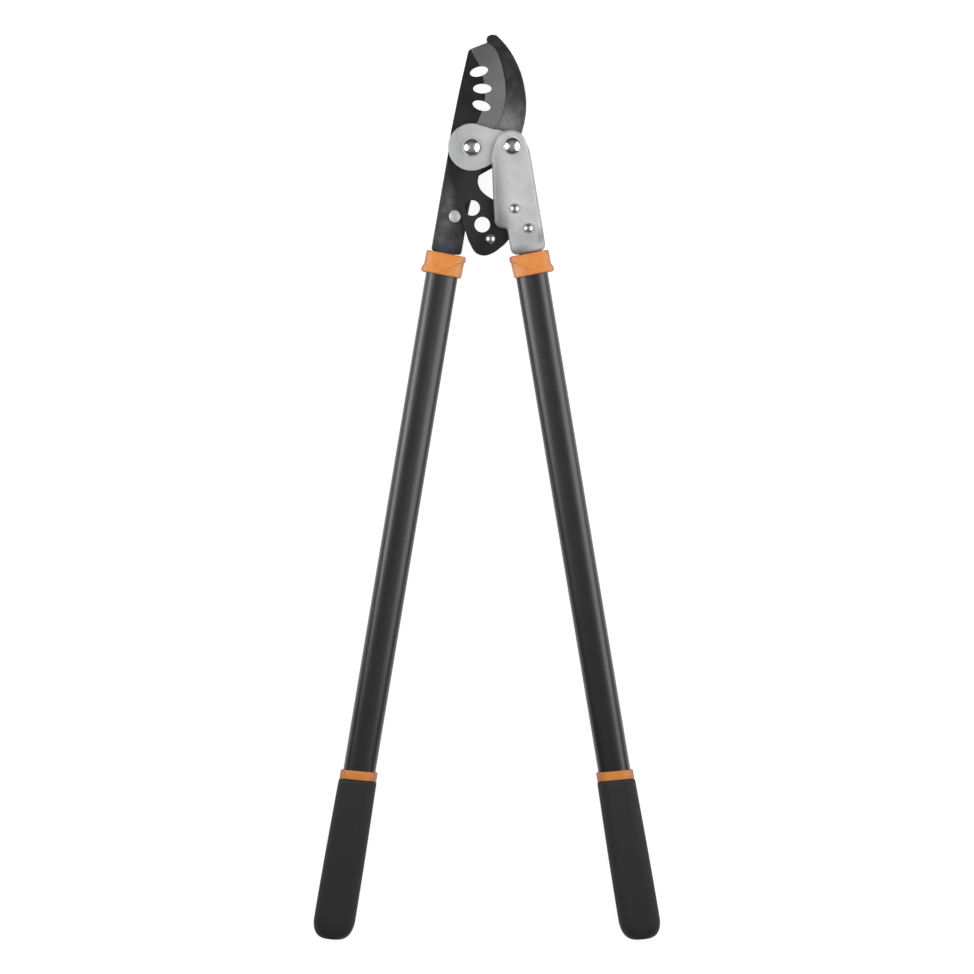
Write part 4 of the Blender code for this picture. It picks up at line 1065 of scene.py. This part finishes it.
def make_grip(label, side, local):
    """The grip: wider down its length, closed in a rounded end, with the tube's bore in its top."""
    node = label + "_grip"
    low, high = unskewed_reach(node, side, local)
    body = high - GRIP_END_ROUND
    first, _ = wall(low, body, GRIP_LIP_ROUND, 0.0)
    stations = [(along, half_of(along, low, body) - inset, GRIP_THICK - inset) for along, inset in first]
    start = first[-1][0]
    for k in range(1, GRIP_ROWS + 1):
        along = start + (body - start) * k / GRIP_ROWS
        stations.append((along, half_of(along, low, body), GRIP_THICK))
    widest = math.radians(GRIP_END_ANGLE)
    for k in range(1, GRIP_END_ROWS + 1):
        a = widest * math.sin(math.pi / 2 * k / GRIP_END_ROWS)
        along = body + GRIP_END_ROUND * math.sin(a) / math.sin(widest)
        half = GRIP_HALF * math.cos(a) ** GRIP_END_FULLNESS
        stations.append((along, half, GRIP_THICK * math.cos(a) ** GRIP_END_THINNING))
    rows = [[(*p, along) for p in rounded_box(half, thick, GRIP_CORNER)] for along, half, thick in stations]
    like = rounded_box(GRIP_TOP_HALF, GRIP_THICK, GRIP_CORNER)
    bore = at_angles(smooth(sections(node, low + GRIP_BORE_LEVEL, local)[1], 3, closed=True), like)
    floor_height = reach(label + "_tube", local)[1] + FIT
    floor = [(*p, floor_height) for p in bore]
    mouth = [(*p, low) for p in bore]
    mesh = lofted(node + "_form", [floor] + skewed([mouth] + rows, side), local)
    shade(mesh, 40)
    dress(bpy.data.objects.new(mesh.name, mesh), node)


def make_handles():
    """Both handles, each in its own axes."""
    for label, side in (("left", -1), ("right", 1)):
        local = handle_frame(label)
        make_tube(label, local)
        make_collar(label, side, local)
        make_ring(label, side, local)
        make_grip(label, side, local)


# Stage

def make_floor():
    """A pale floor that shows white, and keeps the object's shadow."""
    mesh = bpy.data.meshes.new("floor")
    half, level = FLOOR_HALF, CAD_BOX[0].z
    spread_out = [(-half, -half, level), (half, -half, level), (half, half, level), (-half, half, level)]
    mesh.from_pydata(spread_out, [], [(0, 1, 2, 3)])
    floor = bpy.data.objects.new("floor", mesh)
    bpy.context.scene.collection.objects.link(floor)
    made = bpy.data.materials.new("white_paper")
    made.use_nodes = True
    tree = made.node_tree
    tree.nodes.clear()
    paper = add(tree, "ShaderNodeBsdfDiffuse", inputs={"Color": rgba(PAPER_GREY)})
    shadow = add(tree, "ShaderNodeBsdfDiffuse", inputs={"Color": rgba(SEEN_GREY)})
    glow = add(tree, "ShaderNodeEmission", inputs={"Color": rgba(1.0), "Strength": SEEN_GLOW})
    seen = add(tree, "ShaderNodeAddShader")
    tree.links.new(shadow.outputs[0], seen.inputs[0])
    tree.links.new(glow.outputs[0], seen.inputs[1])
    path = add(tree, "ShaderNodeLightPath").outputs
    looked = maths(tree, "MAXIMUM", path["Is Camera Ray"], path["Is Glossy Ray"])
    through = maths(tree, "MAXIMUM", looked, path["Is Transmission Ray"])
    choice = add(tree, "ShaderNodeMixShader")
    tree.links.new(through, choice.inputs[0])
    tree.links.new(paper.outputs[0], choice.inputs[1])
    tree.links.new(seen.outputs[0], choice.inputs[2])
    output = add(tree, "ShaderNodeOutputMaterial")
    tree.links.new(choice.outputs[0], output.inputs["Surface"])
    mesh.materials.append(made)


def make_world():
    """Bright round the horizon, as the paper sweeps up, dim above it and half bright overhead."""
    world = bpy.data.worlds.new("studio")
    bpy.context.scene.world = world
    world.use_nodes = True
    tree = world.node_tree
    coords = add(tree, "ShaderNodeTexCoord").outputs["Generated"]
    height = add(tree, "ShaderNodeSeparateXYZ", inputs={"Vector": coords}).outputs["Z"]
    background = tree.nodes["Background"]
    tree.links.new(ramp(tree, height, HORIZON), background.inputs["Color"])
    background.inputs["Strength"].default_value = 1.0


def make_lights():
    """Soft oval lights at both sides and above, each of a set brightness and turned to face a point."""
    for name, centre, size, brightness, aim in LIGHTS:
        lamp = bpy.data.lights.new(name, "AREA")
        lamp.shape = "ELLIPSE"
        lamp.size, lamp.size_y = size
        lamp.energy = brightness * math.pi * (math.pi / 4 * size[0] * size[1])
        made = bpy.data.objects.new(name, lamp)
        bpy.context.scene.collection.objects.link(made)
        made.location = centre
        made.rotation_euler = (Vector(aim) - Vector(centre)).to_track_quat("-Z", "Y").to_euler()


def make_camera():
    """A long lens straight above, which frames the tool as the photograph does."""
    lens = bpy.data.cameras.new("camera")
    lens.sensor_width = SENSOR
    lens.lens = SENSOR * CAMERA_HEIGHT / VIEW_WIDTH
    camera = bpy.data.objects.new("camera", lens)
    bpy.context.scene.collection.objects.link(camera)
    middle = (CAD_BOX[0].z + CAD_BOX[1].z) / 2
    camera.location = (*VIEW_CENTRE, CAMERA_HEIGHT + middle)
    bpy.context.scene.camera = camera


def dress_cad_nodes():
    """Gives each CAD node that still shows its finish."""
    for name, node in frame["nodes"].items():
        if node.hide_render:
            continue
        node.data.materials.clear()
        node.data.materials.append(FINISHES[slot_of(name)])


make_head_plates()
make_blade()
make_fasteners()
make_nuts()
make_handles()
dress_cad_nodes()
make_floor()
make_world()
make_lights()
make_camera()
bpy.context.scene.view_settings.view_transform = "Standard"
